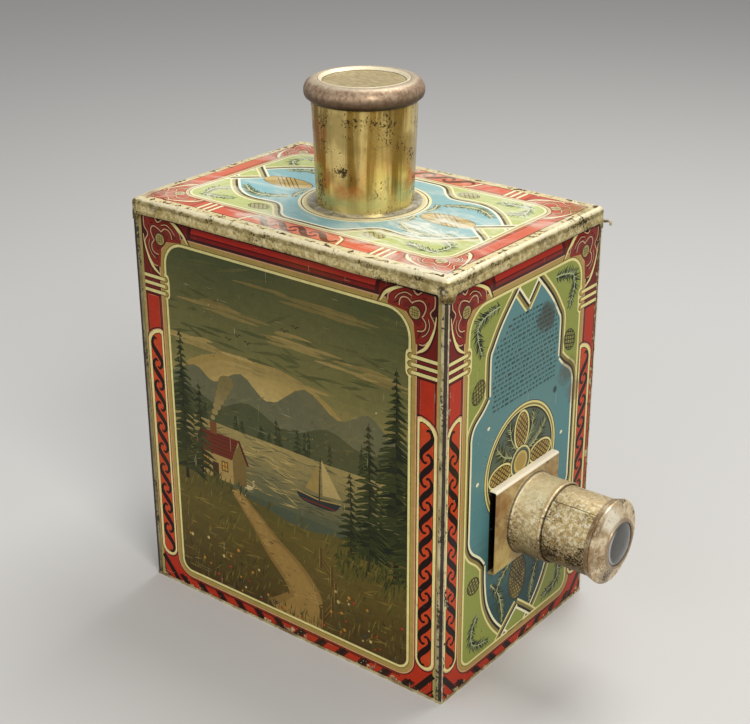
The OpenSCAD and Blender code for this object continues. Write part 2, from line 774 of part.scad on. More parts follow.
module glass_chimney() {
    flame_z = lens_z - glass_z;
    color("lightcyan", 0.4) at_lamp() translate([0, 0, glass_z]) rotate_extrude() difference() {
        polygon([
            [0, 0], [glass_r, 0], [glass_r, flame_z * 0.25], [glass_bulge_r * 0.96, flame_z * 0.6],
            [glass_bulge_r, flame_z * 0.8], [glass_bulge_r * 0.93, flame_z * 1.15],
            [glass_top_r + 1.4, flame_z * 1.8], [glass_top_r, flame_z * 2.4], [glass_top_r, glass_l], [0, glass_l]
        ]);
        polygon([
            [-past, -past], [glass_r - glass_t, -past], [glass_r - glass_t, flame_z * 0.25],
            [glass_bulge_r * 0.96 - glass_t, flame_z * 0.6], [glass_bulge_r - glass_t, flame_z * 0.8],
            [glass_bulge_r * 0.93 - glass_t, flame_z * 1.15], [glass_top_r + 1.4 - glass_t, flame_z * 1.8],
            [glass_top_r - glass_t, flame_z * 2.4], [glass_top_r - glass_t, glass_l + past],
            [-past, glass_l + past]
        ]);
    }
}

// Dish that faces the lenses, with a flat boss on its back
module reflector() {
    apex = arm_t + sheet;
    color("gainsboro") on_lens_axis(0) translate([0, 0, boss_x]) {
        intersection() {
            translate([0, 0, apex - sheet]) cylinder(r = reflector_r, h = reflector_curve / 2);
            difference() {
                translate([0, 0, apex + reflector_curve - sheet]) sphere(r = reflector_curve);
                translate([0, 0, apex + reflector_curve]) sphere(r = reflector_curve);
            }
        }
        translate([0, 0, arm_t]) cylinder(r = boss_r, h = sheet);
    }
}

module reflector_arm() {
    foot_z = screw_top + sheet;
    color("gray") at_lamp() {
        difference() {
            block([reflector_back, arm_w, arm_t], [boss_x, -arm_w / 2, foot_z]);
            translate([0, 0, foot_z - past]) cylinder(r = burner_r + seat_fit, h = arm_t + 2 * past);
        }
        block([arm_t, arm_w, lens_z + boss_r - foot_z], [boss_x, -arm_w / 2, foot_z]);
    }
}

base_pan();
front_panel();
rear_panel();
picture_panel();
hinge_panel();
corner_seams();
hinge_wire();
lid_shell();
chimney_collar();
chimney_tube();
cap_ring();
cap_disc();
cap_legs();
slide_stage();
objective_socket();
draw_tube();
objective_bezel();
front_lens();
rear_lens();
rear_lens_ring();
condenser_cell();
condenser_lens();
condenser_ring();
lamp_guides();
lamp_tray();
lamp_font();
screw_collar();
burner_body();
burner_gallery();
flame_deflector();
wick_tube();
wick();
wick_spindle();
wick_knob();
glass_chimney();
reflector();
reflector_arm();
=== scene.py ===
import json
import random
from collections import Counter
from math import atan2, cos, exp, hypot, pi, radians, sin, sqrt, tau

import bmesh
import bpy
from mathutils import Matrix, Vector, noise
from mathutils.geometry import delaunay_2d_cdt

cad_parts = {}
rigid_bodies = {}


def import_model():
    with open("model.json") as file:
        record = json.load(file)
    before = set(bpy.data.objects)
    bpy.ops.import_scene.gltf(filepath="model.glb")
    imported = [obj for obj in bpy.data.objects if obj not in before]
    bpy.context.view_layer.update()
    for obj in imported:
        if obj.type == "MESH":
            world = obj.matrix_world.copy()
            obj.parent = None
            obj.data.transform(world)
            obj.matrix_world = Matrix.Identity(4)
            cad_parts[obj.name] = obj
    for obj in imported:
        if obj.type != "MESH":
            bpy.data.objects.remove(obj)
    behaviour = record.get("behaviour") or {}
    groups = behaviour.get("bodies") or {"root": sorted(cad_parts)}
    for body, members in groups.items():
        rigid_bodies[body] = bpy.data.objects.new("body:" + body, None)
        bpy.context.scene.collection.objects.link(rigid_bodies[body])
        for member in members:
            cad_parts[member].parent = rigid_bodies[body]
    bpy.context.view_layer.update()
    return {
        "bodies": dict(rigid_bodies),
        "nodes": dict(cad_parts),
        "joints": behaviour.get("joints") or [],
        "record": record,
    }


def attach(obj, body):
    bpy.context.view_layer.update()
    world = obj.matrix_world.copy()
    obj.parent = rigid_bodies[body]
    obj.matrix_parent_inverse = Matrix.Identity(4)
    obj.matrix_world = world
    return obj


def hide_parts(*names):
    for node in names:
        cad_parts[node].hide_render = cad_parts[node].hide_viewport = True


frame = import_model()
mm = 0.001

# camera, floor and lights

cameraLook = {
    "place": (0.37745, -0.47142, 0.38291),
    "azimuth": 38.293,
    "elevation": 23.953,
    "roll": -0.177,
    "lens": 70.93,
}


def addObject(name, data):
    item = bpy.data.objects.new(name, data)
    bpy.context.collection.objects.link(item)
    return item


def meshFrom(bm, name):
    mesh = bpy.data.meshes.new(name)
    bm.to_mesh(mesh)
    bm.free()
    return mesh


def addCamera(look):
    data = bpy.data.cameras.new("camera")
    data.lens = look["lens"]
    data.sensor_width = 36
    data.clip_start = 0.01
    camera = addObject("camera", data)
    turn = Matrix.Rotation(radians(look["azimuth"]), 4, "Z")
    tilt = Matrix.Rotation(radians(90 - look["elevation"]), 4, "X")
    roll = Matrix.Rotation(radians(look["roll"]), 4, "Z")
    camera.matrix_world = Matrix.Translation(look["place"]) @ turn @ tilt @ roll
    bpy.context.scene.camera = camera


addCamera(cameraLook)
bpy.context.scene.view_settings.view_transform = "Standard"

studioLook = {
    "floorColour": (0.60, 0.59, 0.575, 1),
    "floorSize": 12.0,
    "worldColour": (0.80, 0.81, 0.83, 1),
    "worldStrength": 0.40,
    "lamps": [  # name, place, size, watts, colour
        ("keyLamp", (0.95, -0.55, 1.0), 0.5, 10.0, (1.0, 0.97, 0.91)),
        ("fillLamp", (-0.05, -1.30, 0.70), 0.9, 3.9, (1.0, 0.98, 0.95)),
        ("topLamp", (0.05, 0.45, 1.1), 0.6, 8.2, (1.0, 0.99, 0.96)),
    ],
}


# shader helpers


class Value:  # one socket, so that maths on it reads as an expression
    def __init__(self, tree, socket):
        self.tree = tree
        self.socket = socket

    def __add__(self, other):
        return maths(self.tree, "ADD", self, other)

    def __radd__(self, other):
        return maths(self.tree, "ADD", other, self)

    def __sub__(self, other):
        return maths(self.tree, "SUBTRACT", self, other)

    def __rsub__(self, other):
        return maths(self.tree, "SUBTRACT", other, self)

    def __mul__(self, other):
        return maths(self.tree, "MULTIPLY", self, other)

    def __rmul__(self, other):
        return maths(self.tree, "MULTIPLY", other, self)

    def __abs__(self):
        return maths(self.tree, "ABSOLUTE", self)

    def least(self, other):
        return maths(self.tree, "MINIMUM", self, other)

    def most(self, other):
        return maths(self.tree, "MAXIMUM", self, other)


def ink(code):  # hex to linear
    levels = [int(code[i:i + 2], 16) / 255 for i in (0, 2, 4)]
    return (*(x / 12.92 if x <= 0.04045 else ((x + 0.055) / 1.055) ** 2.4 for x in levels), 1.0)


def feed(tree, slot, item):  # a value, a number or a colour's hex code
    if isinstance(item, Value):
        tree.links.new(item.socket, slot)
    else:
        slot.default_value = ink(item) if isinstance(item, str) else item


def maths(tree, operation, *items):
    node = tree.nodes.new("ShaderNodeMath")
    node.operation = operation
    for slot, item in zip(node.inputs, items):
        feed(tree, slot, item)
    return Value(tree, node.outputs[0])


class Finish:  # a material and the nodes that feed its shader
    def __init__(self, name):
        self.material = bpy.data.materials.new(name)
        self.material.use_nodes = True
        self.tree = self.material.node_tree
        self.shader = self.tree.nodes["Principled BSDF"]
        self.place = self.add("ShaderNodeTexCoord", out="Object")

    def add(self, kind, settings=None, sockets=None, out=0):
        node = self.tree.nodes.new(kind)
        for key, item in (settings or {}).items():
            if key == "stops":
                while len(node.color_ramp.elements) < len(item):
                    node.color_ramp.elements.new(1.0)
                for stop, (where, colour) in zip(node.color_ramp.elements, item):
                    stop.position = where
                    stop.color = colour
            else:
                setattr(node, key, item)
        for key, item in (sockets or {}).items():
            feed(self.tree, node.inputs[key], item)
        return Value(self.tree, node.outputs[out])

    def noise(self, scale, detail=2.0, rough=0.5, stretch=None, shift=(0, 0, 0), warp=0.0):
        where = self.place
        if stretch or any(shift):
            where = self.add("ShaderNodeMapping", sockets={
                "Vector": where, "Location": shift, "Scale": stretch or (1, 1, 1)})
        return self.add("ShaderNodeTexNoise", sockets={
            "Vector": where, "Scale": scale, "Detail": detail, "Roughness": rough, "Distortion": warp})

    def step(self, value, low, high, bottom=0.0, top=1.0):
        return self.add("ShaderNodeMapRange", {"interpolation_type": "SMOOTHSTEP"}, {
            "Value": value, "From Min": low, "From Max": high, "To Min": bottom, "To Max": top})

    def mix(self, factor, first, second, mode="MIX"):
        return self.add("ShaderNodeMix", {"data_type": "RGBA", "blend_type": mode},
                        {0: factor, 6: first, 7: second}, out=2)

    def away(self, point):  # the distance, in metres, from a point in millimetres
        point = [part * mm for part in point]
        return self.add("ShaderNodeVectorMath", {"operation": "DISTANCE"},
                        {0: self.place, 1: point}, out="Value")

    def near(self, point, radius):  # 1 at the point, 0 from the radius on
        return self.step(self.away(point), radius * mm, 0.0)

    def axes(self):
        node = self.tree.nodes.new("ShaderNodeSeparateXYZ")
        feed(self.tree, node.inputs[0], self.place)
        return [Value(self.tree, socket) for socket in node.outputs]

    def bump(self, height, distance):
        self.put({"Normal": self.add("ShaderNodeBump", sockets={"Height": height, "Distance": distance})})

    def put(self, sockets):
        for key, item in sockets.items():
            feed(self.tree, self.shader.inputs[key], item)


def addStudio(look):
    floorFinish = Finish("floorFinish")
    floorFinish.put({"Base Color": look["floorColour"], "Roughness": 0.9, "Specular IOR Level": 0.1})
    bm = bmesh.new()
    bmesh.ops.create_grid(bm, x_segments=1, y_segments=1, size=look["floorSize"] / 2)
    mesh = meshFrom(bm, "floor")
    mesh.materials.append(floorFinish.material)
    floor = addObject("floor", mesh)
    world = bpy.data.worlds.new("studio")
    bpy.context.scene.world = world
    world.use_nodes = True
    back = world.node_tree.nodes["Background"]
    back.inputs["Color"].default_value = look["worldColour"]
    back.inputs["Strength"].default_value = look["worldStrength"]
    for name, place, size, watts, colour in look["lamps"]:
        data = bpy.data.lights.new(name, "AREA")
        data.size = size
        data.energy = watts
        data.color = colour
        lamp = addObject(name, data)
        lamp.location = place
        lamp.rotation_euler = (Vector(place) - Vector((0, 0, 0.1))).to_track_quat("Z", "Y").to_euler()


addStudio(studioLook)
print("camera and studio ready")

# finishes


metalLook = {  # what holds where a finish says nothing else
    "grain": 220, "stretch": (1, 1, 1), "cloud": 45, "soft": 0.12, "stained": 0.5, "metal": 0.9,
    "pitScale": 900, "pitStretch": None, "pitEdge": 0.66, "pitDepth": 0.92, "pitCloud": 90,
    "gather": 0.6, "smear": 0.6, "waves": 30, "waveHeight": 0.8,
    "patches": [], "pitPatches": [], "bands": [],
}


def wornMetal(name, look):
    look = {**metalLook, **look}
    finish = Finish(name)
    streak = finish.noise(look["grain"], 4, 0.6, look["stretch"], warp=0.4)
    cloud = finish.noise(look["cloud"], 3, 0.55, shift=(0.3, 0.1, 0.7))
    soft = look["soft"]
    colour = finish.mix(finish.step(streak, 0.5 - soft, 0.5 + soft), look["deep"], look["pale"])
    colour = finish.mix(finish.step(cloud, 0.5, 0.68) * look["stained"], colour, look["stain"])
    for *point, radius, tint, strength in look["patches"]:
        edge = finish.near(point, radius) + (finish.noise(180, 3) - 0.5) * 0.9
        colour = finish.mix(finish.step(edge, 0.25, 0.7) * strength, colour, tint)
    if "bright" in look:  # clean tin still shows between the stains
        clean = finish.noise(look["brightScale"], 4, 0.68, shift=(0.6, 0.3, 0.2))
        colour = finish.mix(finish.step(clean, 0.50, 0.58) * look["brightness"], colour, look["bright"])
    crowd = (finish.noise(look["pitCloud"], 2, 0.5, shift=(0.7, 0.2, 0.1)) - 0.5) * look["gather"]
    for axis, start, end, tint, strength, more in look["bands"]:
        inside = bandMask(finish, axis, start, end, more)
        colour = finish.mix(inside * strength, colour, tint)
        crowd = crowd + inside * more.get("crowd", 0)
    for *point, radius, extra in look["pitPatches"]:
        crowd = crowd + finish.near(point, radius) * extra
    edge = look["pitEdge"]
    fine = finish.noise(look["pitScale"], 4, 0.68, look["pitStretch"], shift=(0.11, 0.4, 0.2))
    smear = finish.noise(look["pitScale"] * 0.42, 4, 0.66, look["pitStretch"], shift=(0.5, 0.4, 0.2))
    blots = finish.step(smear + crowd * 0.8, edge - 0.06, edge + 0.03)
    colour = finish.mix(blots * look["smear"], colour, look["stain"])
    pits = finish.step(fine + crowd, edge, edge + 0.03)
    colour = finish.mix(pits * look["pitDepth"], colour, look["pit"])
    if "seam" in look:
        colour = finish.mix(lapLine(finish, look["seam"]) * 0.9, colour, look["pit"])
    low, high = look["rough"]
    finish.put({
        "Base Color": colour,
        "Metallic": look["metal"] * (1 - pits * 0.8),
        "Roughness": finish.step(cloud, 0.3, 0.7, low, high) + pits * 0.3,
        "Specular IOR Level": 0.2,
    })
    waves = finish.noise(look["waves"], 2, 0.4)
    finish.bump(waves * look["waveHeight"] + streak * 0.08 - pits * 0.14, 0.0006)
    return finish.material


def bandMask(finish, axis, start, end, more):  # 0 at the start, 1 from the end on, along one axis
    x, y, z = finish.axes()
    if axis == "round":
        along = maths(finish.tree, "SQRT", x * x + y * y)
    else:
        along = x if axis == "x" else z
    along = along + (finish.noise(240, 3) - 0.5) * more.get("ragged", 0) * mm
    inside = finish.step(along, start * mm, end * mm)
    if "until" in more:  # a band with two edges fades out again
        inside = inside * finish.step(along, more["until"] * mm, (more["until"] - end + start) * mm)
    return inside


def lapLine(finish, seam):  # the dark edge of the lap along a tube that lies in X
    x, y, z = finish.axes()
    a = radians(seam["angle"])
    y = y - seam["axis"][0] * mm
    z = z - seam["axis"][1] * mm
    across = abs(z * cos(a) - y * sin(a) + (finish.noise(90, 1) - 0.5) * 0.0003)
    outward = y * cos(a) + z * sin(a)
    inside = finish.step(x, seam["from"] * mm, (seam["from"] + 0.6) * mm)
    inside = inside * finish.step(x, (seam["to"] + 0.6) * mm, seam["to"] * mm)
    return finish.step(across, 0.00034, 0.00012) * finish.step(outward, 0.002, 0.004) * inside


def litho(name, look):  # printed tin: the colours come with the mesh
    finish = Finish(name)
    node = finish.tree.nodes.new("ShaderNodeAttribute")
    node.attribute_name = "ink"
    printed = Value(finish.tree, node.outputs["Color"])
    dabs = finish.noise(330, 4, 0.65, warp=0.6)
    grain = finish.noise(1500, 2, 0.6)
    tone = 1 + (dabs - 0.5) * look["brush"] + (grain - 0.5) * 0.3 + (finish.noise(22, 2) - 0.5) * 0.2
    x, y, z = finish.axes()
    if look["topShade"]:
        tone = tone * finish.step(z, 0.09, 0.185, 1.0, 1 - look["topShade"])
    shade = finish.add("ShaderNodeCombineXYZ", sockets={0: tone, 1: tone * 0.985, 2: tone * 0.90})
    colour = finish.mix(1.0, printed, shade, "MULTIPLY")
    aged = finish.step(finish.noise(16, 3, shift=(0.2, 0.5, 0.9)), 0.45, 0.8)
    colour = finish.mix(aged * look["yellowing"], colour, look["varnish"])
    if look["flat"]:
        edge = (look["half"][0] - abs(x)).least(look["half"][1] - abs(y))
        along, across = (26, 1, 1), (1.5, 22, 1)
        haze = finish.step(finish.noise(34, 4, 0.65, (1, 1.6, 1), shift=(0.15, 0.2, 0), warp=0.8), 0.46,
            0.72)
        rubbed = finish.noise(150, 4, 0.7, (0.35, 1, 1), shift=(0.3, 0.3, 0), warp=1.2)
        # the spots whiten the worn varnish further: rubbed streaks, partly painted sheen where the lamp's
        # glare falls
        for *point, radius, strength in look["scuffs"]:
            haze = haze + finish.near(point, radius) * finish.step(rubbed, 0.42, 0.58) * strength
        colour = finish.mix((haze * look["scuff"]).least(0.85), colour, look["haze"])
    else:
        edge = (look["half"][0] - abs(x if look["across"] == "x" else y)).least(z)
        along, across = (1, 1, 26), (22, 22, 1.5)
    rub = finish.step(edge, look["rubWidth"], 0.0)
    chips = finish.noise(420, 3, 0.6, shift=(0.4, 0.9, 0.3))
    where = finish.noise(38, 2, 0.5, shift=(0.9, 0.1, 0.6))
    bare = finish.step(chips + rub * look["rub"] + (where - 0.5) * 0.22, 0.745, 0.775)
    rust = finish.step(finish.noise(150, 3, 0.6), 0.42, 0.6)
    colour = finish.mix(bare, colour, finish.mix(rust, look["tin"], look["rust"]))
    scratches = finish.step(finish.noise(60, 2, 0.5, along, shift=(0.5, 0.5, 0)), 0.735, 0.76).most(
        finish.step(finish.noise(48, 2, 0.5, across, shift=(0.1, 0.7, 0.3)), 0.74, 0.765))
    colour = finish.mix(scratches * 0.4, colour, look["tin"])
    specks = finish.step(finish.noise(640, 2, 0.5, shift=(0.2, 0.2, 0.8)) + (where - 0.5) * 0.3, 0.76, 0.79)
    colour = finish.mix(specks * 0.8, colour, look["rust"])
    for *point, radius, tint, strength in look["stains"]:
        blot = finish.near(point, radius) + (finish.noise(190, 5, 0.7) - 0.5) * 1.5
        colour = finish.mix(finish.step(blot, 0.3, 0.8) * strength, colour, tint)
    finish.put({
        "Base Color": colour,
        "Roughness": look["rough"] + (grain - 0.5) * 0.15 + bare * 0.25,
        "Metallic": bare * 0.35,
        "Specular IOR Level": 0.14,
    })
    finish.bump(finish.noise(26, 2, 0.4) + grain * 0.03 - bare * 0.10 - scratches * 0.05, 0.0005)
    return finish.material


# patches: x, y, z, radius, colour, strength; pitPatches: x, y, z, radius, more pits
# bands: axis, from, to, colour, strength, further settings; all in millimetres
tinLook = {
    "pale": "D9CDA2", "deep": "A89468", "stain": "7A6238", "pit": "1E1408", "rough": (0.30, 0.50),
    "metal": 0.6, "stained": 0.65, "waves": 60,
}
objectiveLook = {
    "pale": "D8C692", "deep": "AE925C", "stain": "745A2C", "pit": "170D05", "rough": (0.36, 0.54),
    "metal": 0.45, "stained": 0.6, "grain": 520, "cloud": 230, "bright": "FAF2D8", "brightScale": 640,
    "brightness": 0.7, "pitScale": 1250, "pitEdge": 0.640, "gather": 0.7,
    "seam": {"angle": 120, "axis": (2.5, 67.6), "from": 103.5, "to": 124.0},
    "bands": [
        # darker and more pitted towards the bottom of the tubes: painted shade under them, with real pits
        ("z", 74.0, 59.0, "614A1C", 0.7, {"ragged": 5, "crowd": 0.045}),
        # paler and less pitted on top of the tubes: painted highlight
        ("z", 81.5, 85.5, "CDB38A", 0.6, {"ragged": 3, "crowd": -0.14}),
        ("x", 103.4, 102.6, "F6EAC0", 0.26, {}),
        ("x", 102.8, 103.6, "A89A80", 0.16, {}),
        ("x", 87.7, 88.1, "2A1A0C", 0.75, {"ragged": 0.3, "until": 88.9}),
        # dark ring on the sliding tube just in front of the fixed tube's edge: painted shadow
        ("x", 103.25, 103.35, "20130A", 0.8, {"ragged": 0.2, "until": 104.0}),
        # pale pink line at the fixed tube's rolled edge: painted highlight
        ("x", 101.6, 101.9, "C09A74", 0.7, {"ragged": 0.2, "until": 102.6}),
        # darker still near the bottom: painted shade
        ("z", 64.0, 51.0, "4A3818", 0.75, {"ragged": 4}),
        ("x", 124.4, 125.2, "6A4C28", 0.5, {"ragged": 0.5}),
    ],
    "pitPatches": [
        (120, -14, 62.5, 8.5, 0.22), (122.5, -14.3, 69.4, 6, 0.16),
        (107, -13.6, 62.4, 8, 0.05), (90, -14, 62, 8, 0.10),
    ],
    "patches": [
        (96, -14.5, 61, 14, "64541E", 0.7), (105.5, -13.6, 61, 8, "5A3414", 0.6),
        # the second patch below, pale on top of the fixed tube, is a painted highlight
        (119.5, -12.5, 57.5, 6, "F2E4CC", 0.5), (94.5, -6, 83, 15, "FFF6D2", 0.4),
    ],
}
bezelLook = {
    "pale": "EBDAB6", "deep": "AE9168", "stain": "6C4C2A", "pit": "1C1008", "rough": (0.30, 0.46),
    "metal": 0.45, "stained": 0.4, "grain": 300, "cloud": 70, "pitScale": 1300, "soft": 0.2,
    "gather": 0.7, "smear": 0.5, "bright": "F6E8CA", "brightScale": 420, "brightness": 0.3,
    "pitPatches": [(130, 0, 50, 16, 0.12), (128.5, 8, 84.5, 6.5, 0.13)],
    "patches": [
        # the second patch below, pale on the upper dome, is a painted highlight
        (129, -13, 80, 8, "6A4C2A", 0.6), (129, -2, 80, 9.5, "FFF8E2", 0.75),
        (128.5, -15, 66, 12, "7A5A36", 0.6), (129, -5, 52.5, 11, "4E361C", 0.55),
    ],
    "bands": [
        ("x", 130.2, 131.0, "8C7660", 0.8, {"ragged": 0.4, "crowd": -0.1}),
        ("x", 127.2, 126.6, "5C4026", 0.45, {"ragged": 0.6}),
    ],
}
stageLook = {
    "pale": "BFA978", "deep": "9E8252", "stain": "744C24", "pit": "3A2410", "rough": (0.42, 0.56),
    "metal": 0.15, "stained": 0.55, "grain": 200, "cloud": 160, "soft": 0.16, "pitEdge": 0.69,
    "smear": 0.7, "pitScale": 800, "waves": 45, "waveHeight": 0.35,
    "patches": [
        (87.6, -21, 80, 13, "8C5A28", 0.5), (87.6, -19, 54, 13, "CDB25E", 0.5),
        (87.6, 19, 81, 10, "9A7440", 0.45), (87.6, -23, 66, 12, "A8864C", 0.4),
    ],
    # near-white top of the upper flange: painted highlight
    "bands": [("z", 86.9, 87.4, "FBF1DA", 0.97, {"crowd": -0.12})],
}
seatLook = {
    "pale": "CDC8B6", "deep": "9E9886", "stain": "6E6450", "pit": "1C1208", "rough": (0.34, 0.48),
    "metal": 0.4, "stained": 0.45, "cloud": 130, "grain": 260,
}
lidEdgeLook = {
    "pale": "CDBC86", "deep": "A6935C", "stain": "75642F", "pit": "22170A", "rough": (0.36, 0.52),
    "metal": 0.25, "stained": 0.6, "grain": 560, "cloud": 380, "soft": 0.14, "pitEdge": 0.675,
    "pitScale": 1000, "smear": 0.7, "bright": "EFE3B8", "brightScale": 480, "brightness": 0.45,
    "bands": [
        # pale band on the rounded upper edge: painted highlight
        ("z", 188.2, 189.5, "F6ECCB", 0.7, {"ragged": 1.0}),
        ("z", 189.0, 188.3, "5E522A", 0.45, {"ragged": 1.6, "crowd": 0.09, "until": 186.6}),
        ("z", 184.6, 183.7, "7A6436", 0.4, {"ragged": 1.0, "crowd": 0.05}),
        # the corner tabs darker: rust with painted shade
        ("z", 183.3, 182.5, "5A4626", 0.6, {"ragged": 0.8, "crowd": 0.06}),
    ],
    "patches": [
        (82, -56.9, 185, 4.5, "2A1E0C", 0.85), (84.5, -56.9, 181.2, 4.5, "160F06", 0.9),
        (-85, -56, 185, 8, "4A3A1C", 0.7), (-70, -57, 188.5, 6, "3A2410", 0.6),
        (70, -56.9, 188.5, 16, "6E5E30", 0.45), (85, 10, 187, 14, "6E5A34", 0.4),
    ],
}
giltLook = {
    "pale": "EAD28A", "deep": "927434", "stain": "74602E", "pit": "1A1006", "rough": (0.18, 0.34),
    "metal": 0.85, "pitEdge": 0.640, "pitScale": 1100, "pitStretch": (1, 1, 0.7), "gather": 0.62,
    "smear": 0.35, "stretch": (1, 1, 0.03), "grain": 170, "cloud": 60, "soft": 0.11, "waves": 26,
    "pitPatches": [
        (3.7, -21.2, 208, 6.5, 0.20), (14.6, -16.2, 219.5, 5, 0.12), (20.2, -9, 227.5, 6, 0.12),
        (-6, -21.3, 228, 6, 0.10),
    ],
    "patches": [
        (20, -9, 220, 19, "9C8444", 0.55), (21, 2, 214, 16, "8E7638", 0.5),
        (4, -20.6, 198.5, 6.5, "B8703C", 0.55), (10, -18.4, 199, 6.5, "C07C44", 0.5),
        (-4.5, -20.7, 204, 6, "BC8048", 0.45), (-4, -20.7, 192.5, 8, "8E9A80", 0.7),
        (-7.3, -20.8, 223, 10, "A8623A", 0.45), (-9.3, -19.6, 206, 7, "9AA05C", 0.6),
        (21, 5, 201, 10, "A8683A", 0.5),
    ],
    "bands": [
        ("z", 202.0, 195.0, "DCCB84", 0.62, {"ragged": 9}),
        ("z", 233.0, 235.2, "4A3A1A", 0.6, {}),
    ],
}
bronzeLook = {
    "pale": "B8A086", "deep": "8A7058", "stain": "64503C", "pit": "2A1C12", "rough": (0.38, 0.50),
    "metal": 0.4, "stained": 0.35, "grain": 620, "stretch": (1, 1, 0.7), "cloud": 240, "soft": 0.2,
    "pitEdge": 0.70, "smear": 0.4, "waves": 40, "waveHeight": 0.4,
    "bands": [
        # darker towards the bottom: painted shade under the bead; pale top edge: painted highlight
        ("z", 240.0, 237.0, "4A3626", 0.82, {"ragged": 1.0}),
        ("z", 237.2, 235.0, "2C1E12", 0.85, {"ragged": 0.6}),
        ("z", 242.0, 243.0, "DCCFB4", 0.5, {"ragged": 1.4}),
    ],
}
discLook = {
    "pale": "BDAC84", "deep": "A3926A", "stain": "877650", "pit": "4E3E22", "rough": (0.40, 0.52),
    "metal": 0.3, "stained": 0.35, "stretch": (1, 3, 1), "grain": 260, "cloud": 120, "pitEdge": 0.72,
    "smear": 0.3,
    "bands": [
        # dark line at the foot of the chamfer: painted shade; cream on the chamfer: painted highlight
        ("round", 17.15, 17.3, "4A3A20", 0.7, {}),
        ("round", 17.5, 17.75, "F6EACB", 0.9, {"ragged": 0.3}),
    ],
}
innerLook = {
    "pale": "B9B4A2", "deep": "8A8473", "stain": "5F553F", "pit": "241C12", "rough": (0.38, 0.55),
    "metal": 0.6, "stained": 0.4, "cloud": 60, "grain": 300, "soft": 0.35, "pitEdge": 0.72,
}
brassLook = {
    "pale": "CBA75A", "deep": "9C7A36", "stain": "5D4620", "pit": "20160A", "rough": (0.26, 0.42),
    "metal": 0.95, "pitEdge": 0.73,
}
wireLook = {
    "pale": "C9BDA0", "deep": "8E8064", "stain": "5A3A20", "pit": "140D07", "rough": (0.35, 0.55),
    "metal": 0.7, "pitEdge": 0.7,
}
mirrorLook = {
    "pale": "D5D3CC", "deep": "C2BFB6", "stain": "8E8878", "pit": "3A342A", "rough": (0.08, 0.2),
    "metal": 1.0, "stained": 0.35, "waveHeight": 0.2, "pitEdge": 0.75,
}
tin = wornMetal("wornTin", tinLook)
objectiveTin = wornMetal("objectiveTin", objectiveLook)
bezelTin = wornMetal("bezelTin", bezelLook)
seatTin = wornMetal("seatTin", seatLook)
stageTin = wornMetal("stageTin", stageLook)
lidEdge = wornMetal("lidEdge", lidEdgeLook)
gilt = wornMetal("giltTin", giltLook)
bronze = wornMetal("bronzedTin", bronzeLook)
discTin = wornMetal("discTin", discLook)
innerTin = wornMetal("innerTin", innerLook)
brass = wornMetal("burnerBrass", brassLook)
wireSteel = wornMetal("hingeSteel", wireLook)
mirrorTin = wornMetal("mirrorTin", mirrorLook)


def clearGlass(name, look):
    finish = Finish(name)
    dust = finish.noise(look["dustScale"], 3, 0.6)
    colour = look["colour"]
    if "glint" in look:  # light caught in the ground edge of the lens
        glint = look["glint"]
        away = finish.away(glint["centre"])
        arc = finish.step(away, glint["inner"], glint["inner"] + 0.0004)
        arc = arc * finish.step(away, glint["outer"], glint["outer"] - 0.0003)
        colour = finish.mix(arc * finish.step(finish.axes()[1], 0.0, -0.006) * 0.9, colour, glint["tint"])
    finish.put({
        "Base Color": colour,
        "Transmission Weight": look["clear"],
        "IOR": 1.5,
        "Roughness": finish.step(dust, 0.4, 0.75, look["rough"], look["rough"] + look["dust"]),
    })
    return finish.material


lensGlass = clearGlass("lensGlass", {
    "colour": (0.13, 0.13, 0.12, 1), "clear": 0.45, "rough": 0.10, "dust": 0.25, "dustScale": 260,
    "glint": {"centre": (129.5, 2.5, 67.6), "inner": 0.0083, "outer": 0.0094, "tint": "E8E6DC"},
})
lampGlass = clearGlass("lampGlass", {
    "colour": (0.96, 0.97, 0.95, 1), "clear": 1.0, "rough": 0.02, "dust": 0.06, "dustScale": 120,
})


def cottonFinish(look):
    finish = Finish("wickCotton")
    weave = finish.add("ShaderNodeTexWave", {"wave_type": "BANDS", "bands_direction": "DIAGONAL"},
                       {"Vector": finish.place, "Scale": 260.0, "Distortion": 1.5}, out="Fac")
    z = finish.axes()[2]
    char = finish.step(z + (finish.noise(900) - 0.5) * 0.002, look["charFrom"], look["charTo"])
    colour = finish.mix(weave, look["shade"], look["thread"])
    colour = finish.mix(char, colour, look["char"])
    finish.put({"Base Color": colour, "Roughness": 0.9})
    finish.bump(weave, 0.0002)
    return finish.material


cotton = cottonFinish({
    "thread": "E2D8BC", "shade": "B8A982", "char": "1A1410", "charFrom": 0.0505, "charTo": 0.0535,
})
print("finishes ready")

# piece helpers


def addPiece(name, bm, materials, body, nodes=(), sharp=38):
    mesh = meshFrom(bm, name)
    for material in materials:
        mesh.materials.append(material)
    mesh.shade_smooth()
    mesh.set_sharp_from_angle(angle=radians(sharp))
    piece = addObject(name, mesh)
    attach(piece, body)
    if nodes:
        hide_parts(*nodes)
    print("made", name, len(mesh.polygons), "faces")
    return piece


def shell(piece, thickness):
    solid = piece.modifiers.new("thickness", "SOLIDIFY")
    solid.thickness = thickness * mm
    solid.offset = -1


def ease(piece, width):
    soft = piece.modifiers.new("edges", "BEVEL")
    soft.width = width * mm
    soft.segments = 2
    soft.limit_method = "ANGLE"
    soft.angle_limit = radians(40)


def extruded(bm, edges):  # the new vertices and the new edges
    made = bmesh.ops.extrude_edge_only(bm, edges=edges)["geom"]
    kinds = bmesh.types.BMVert, bmesh.types.BMEdge
    return [[part for part in made if isinstance(part, kind)] for kind in kinds]


def layAlongX(bm, x, y, z):  # turns what stands on Z to X and moves it there, in mm
    turn = Matrix.Translation((x * mm, y * mm, z * mm)) @ Matrix.Rotation(pi / 2, 4, "Y")
    bmesh.ops.transform(bm, matrix=turn, verts=bm.verts)


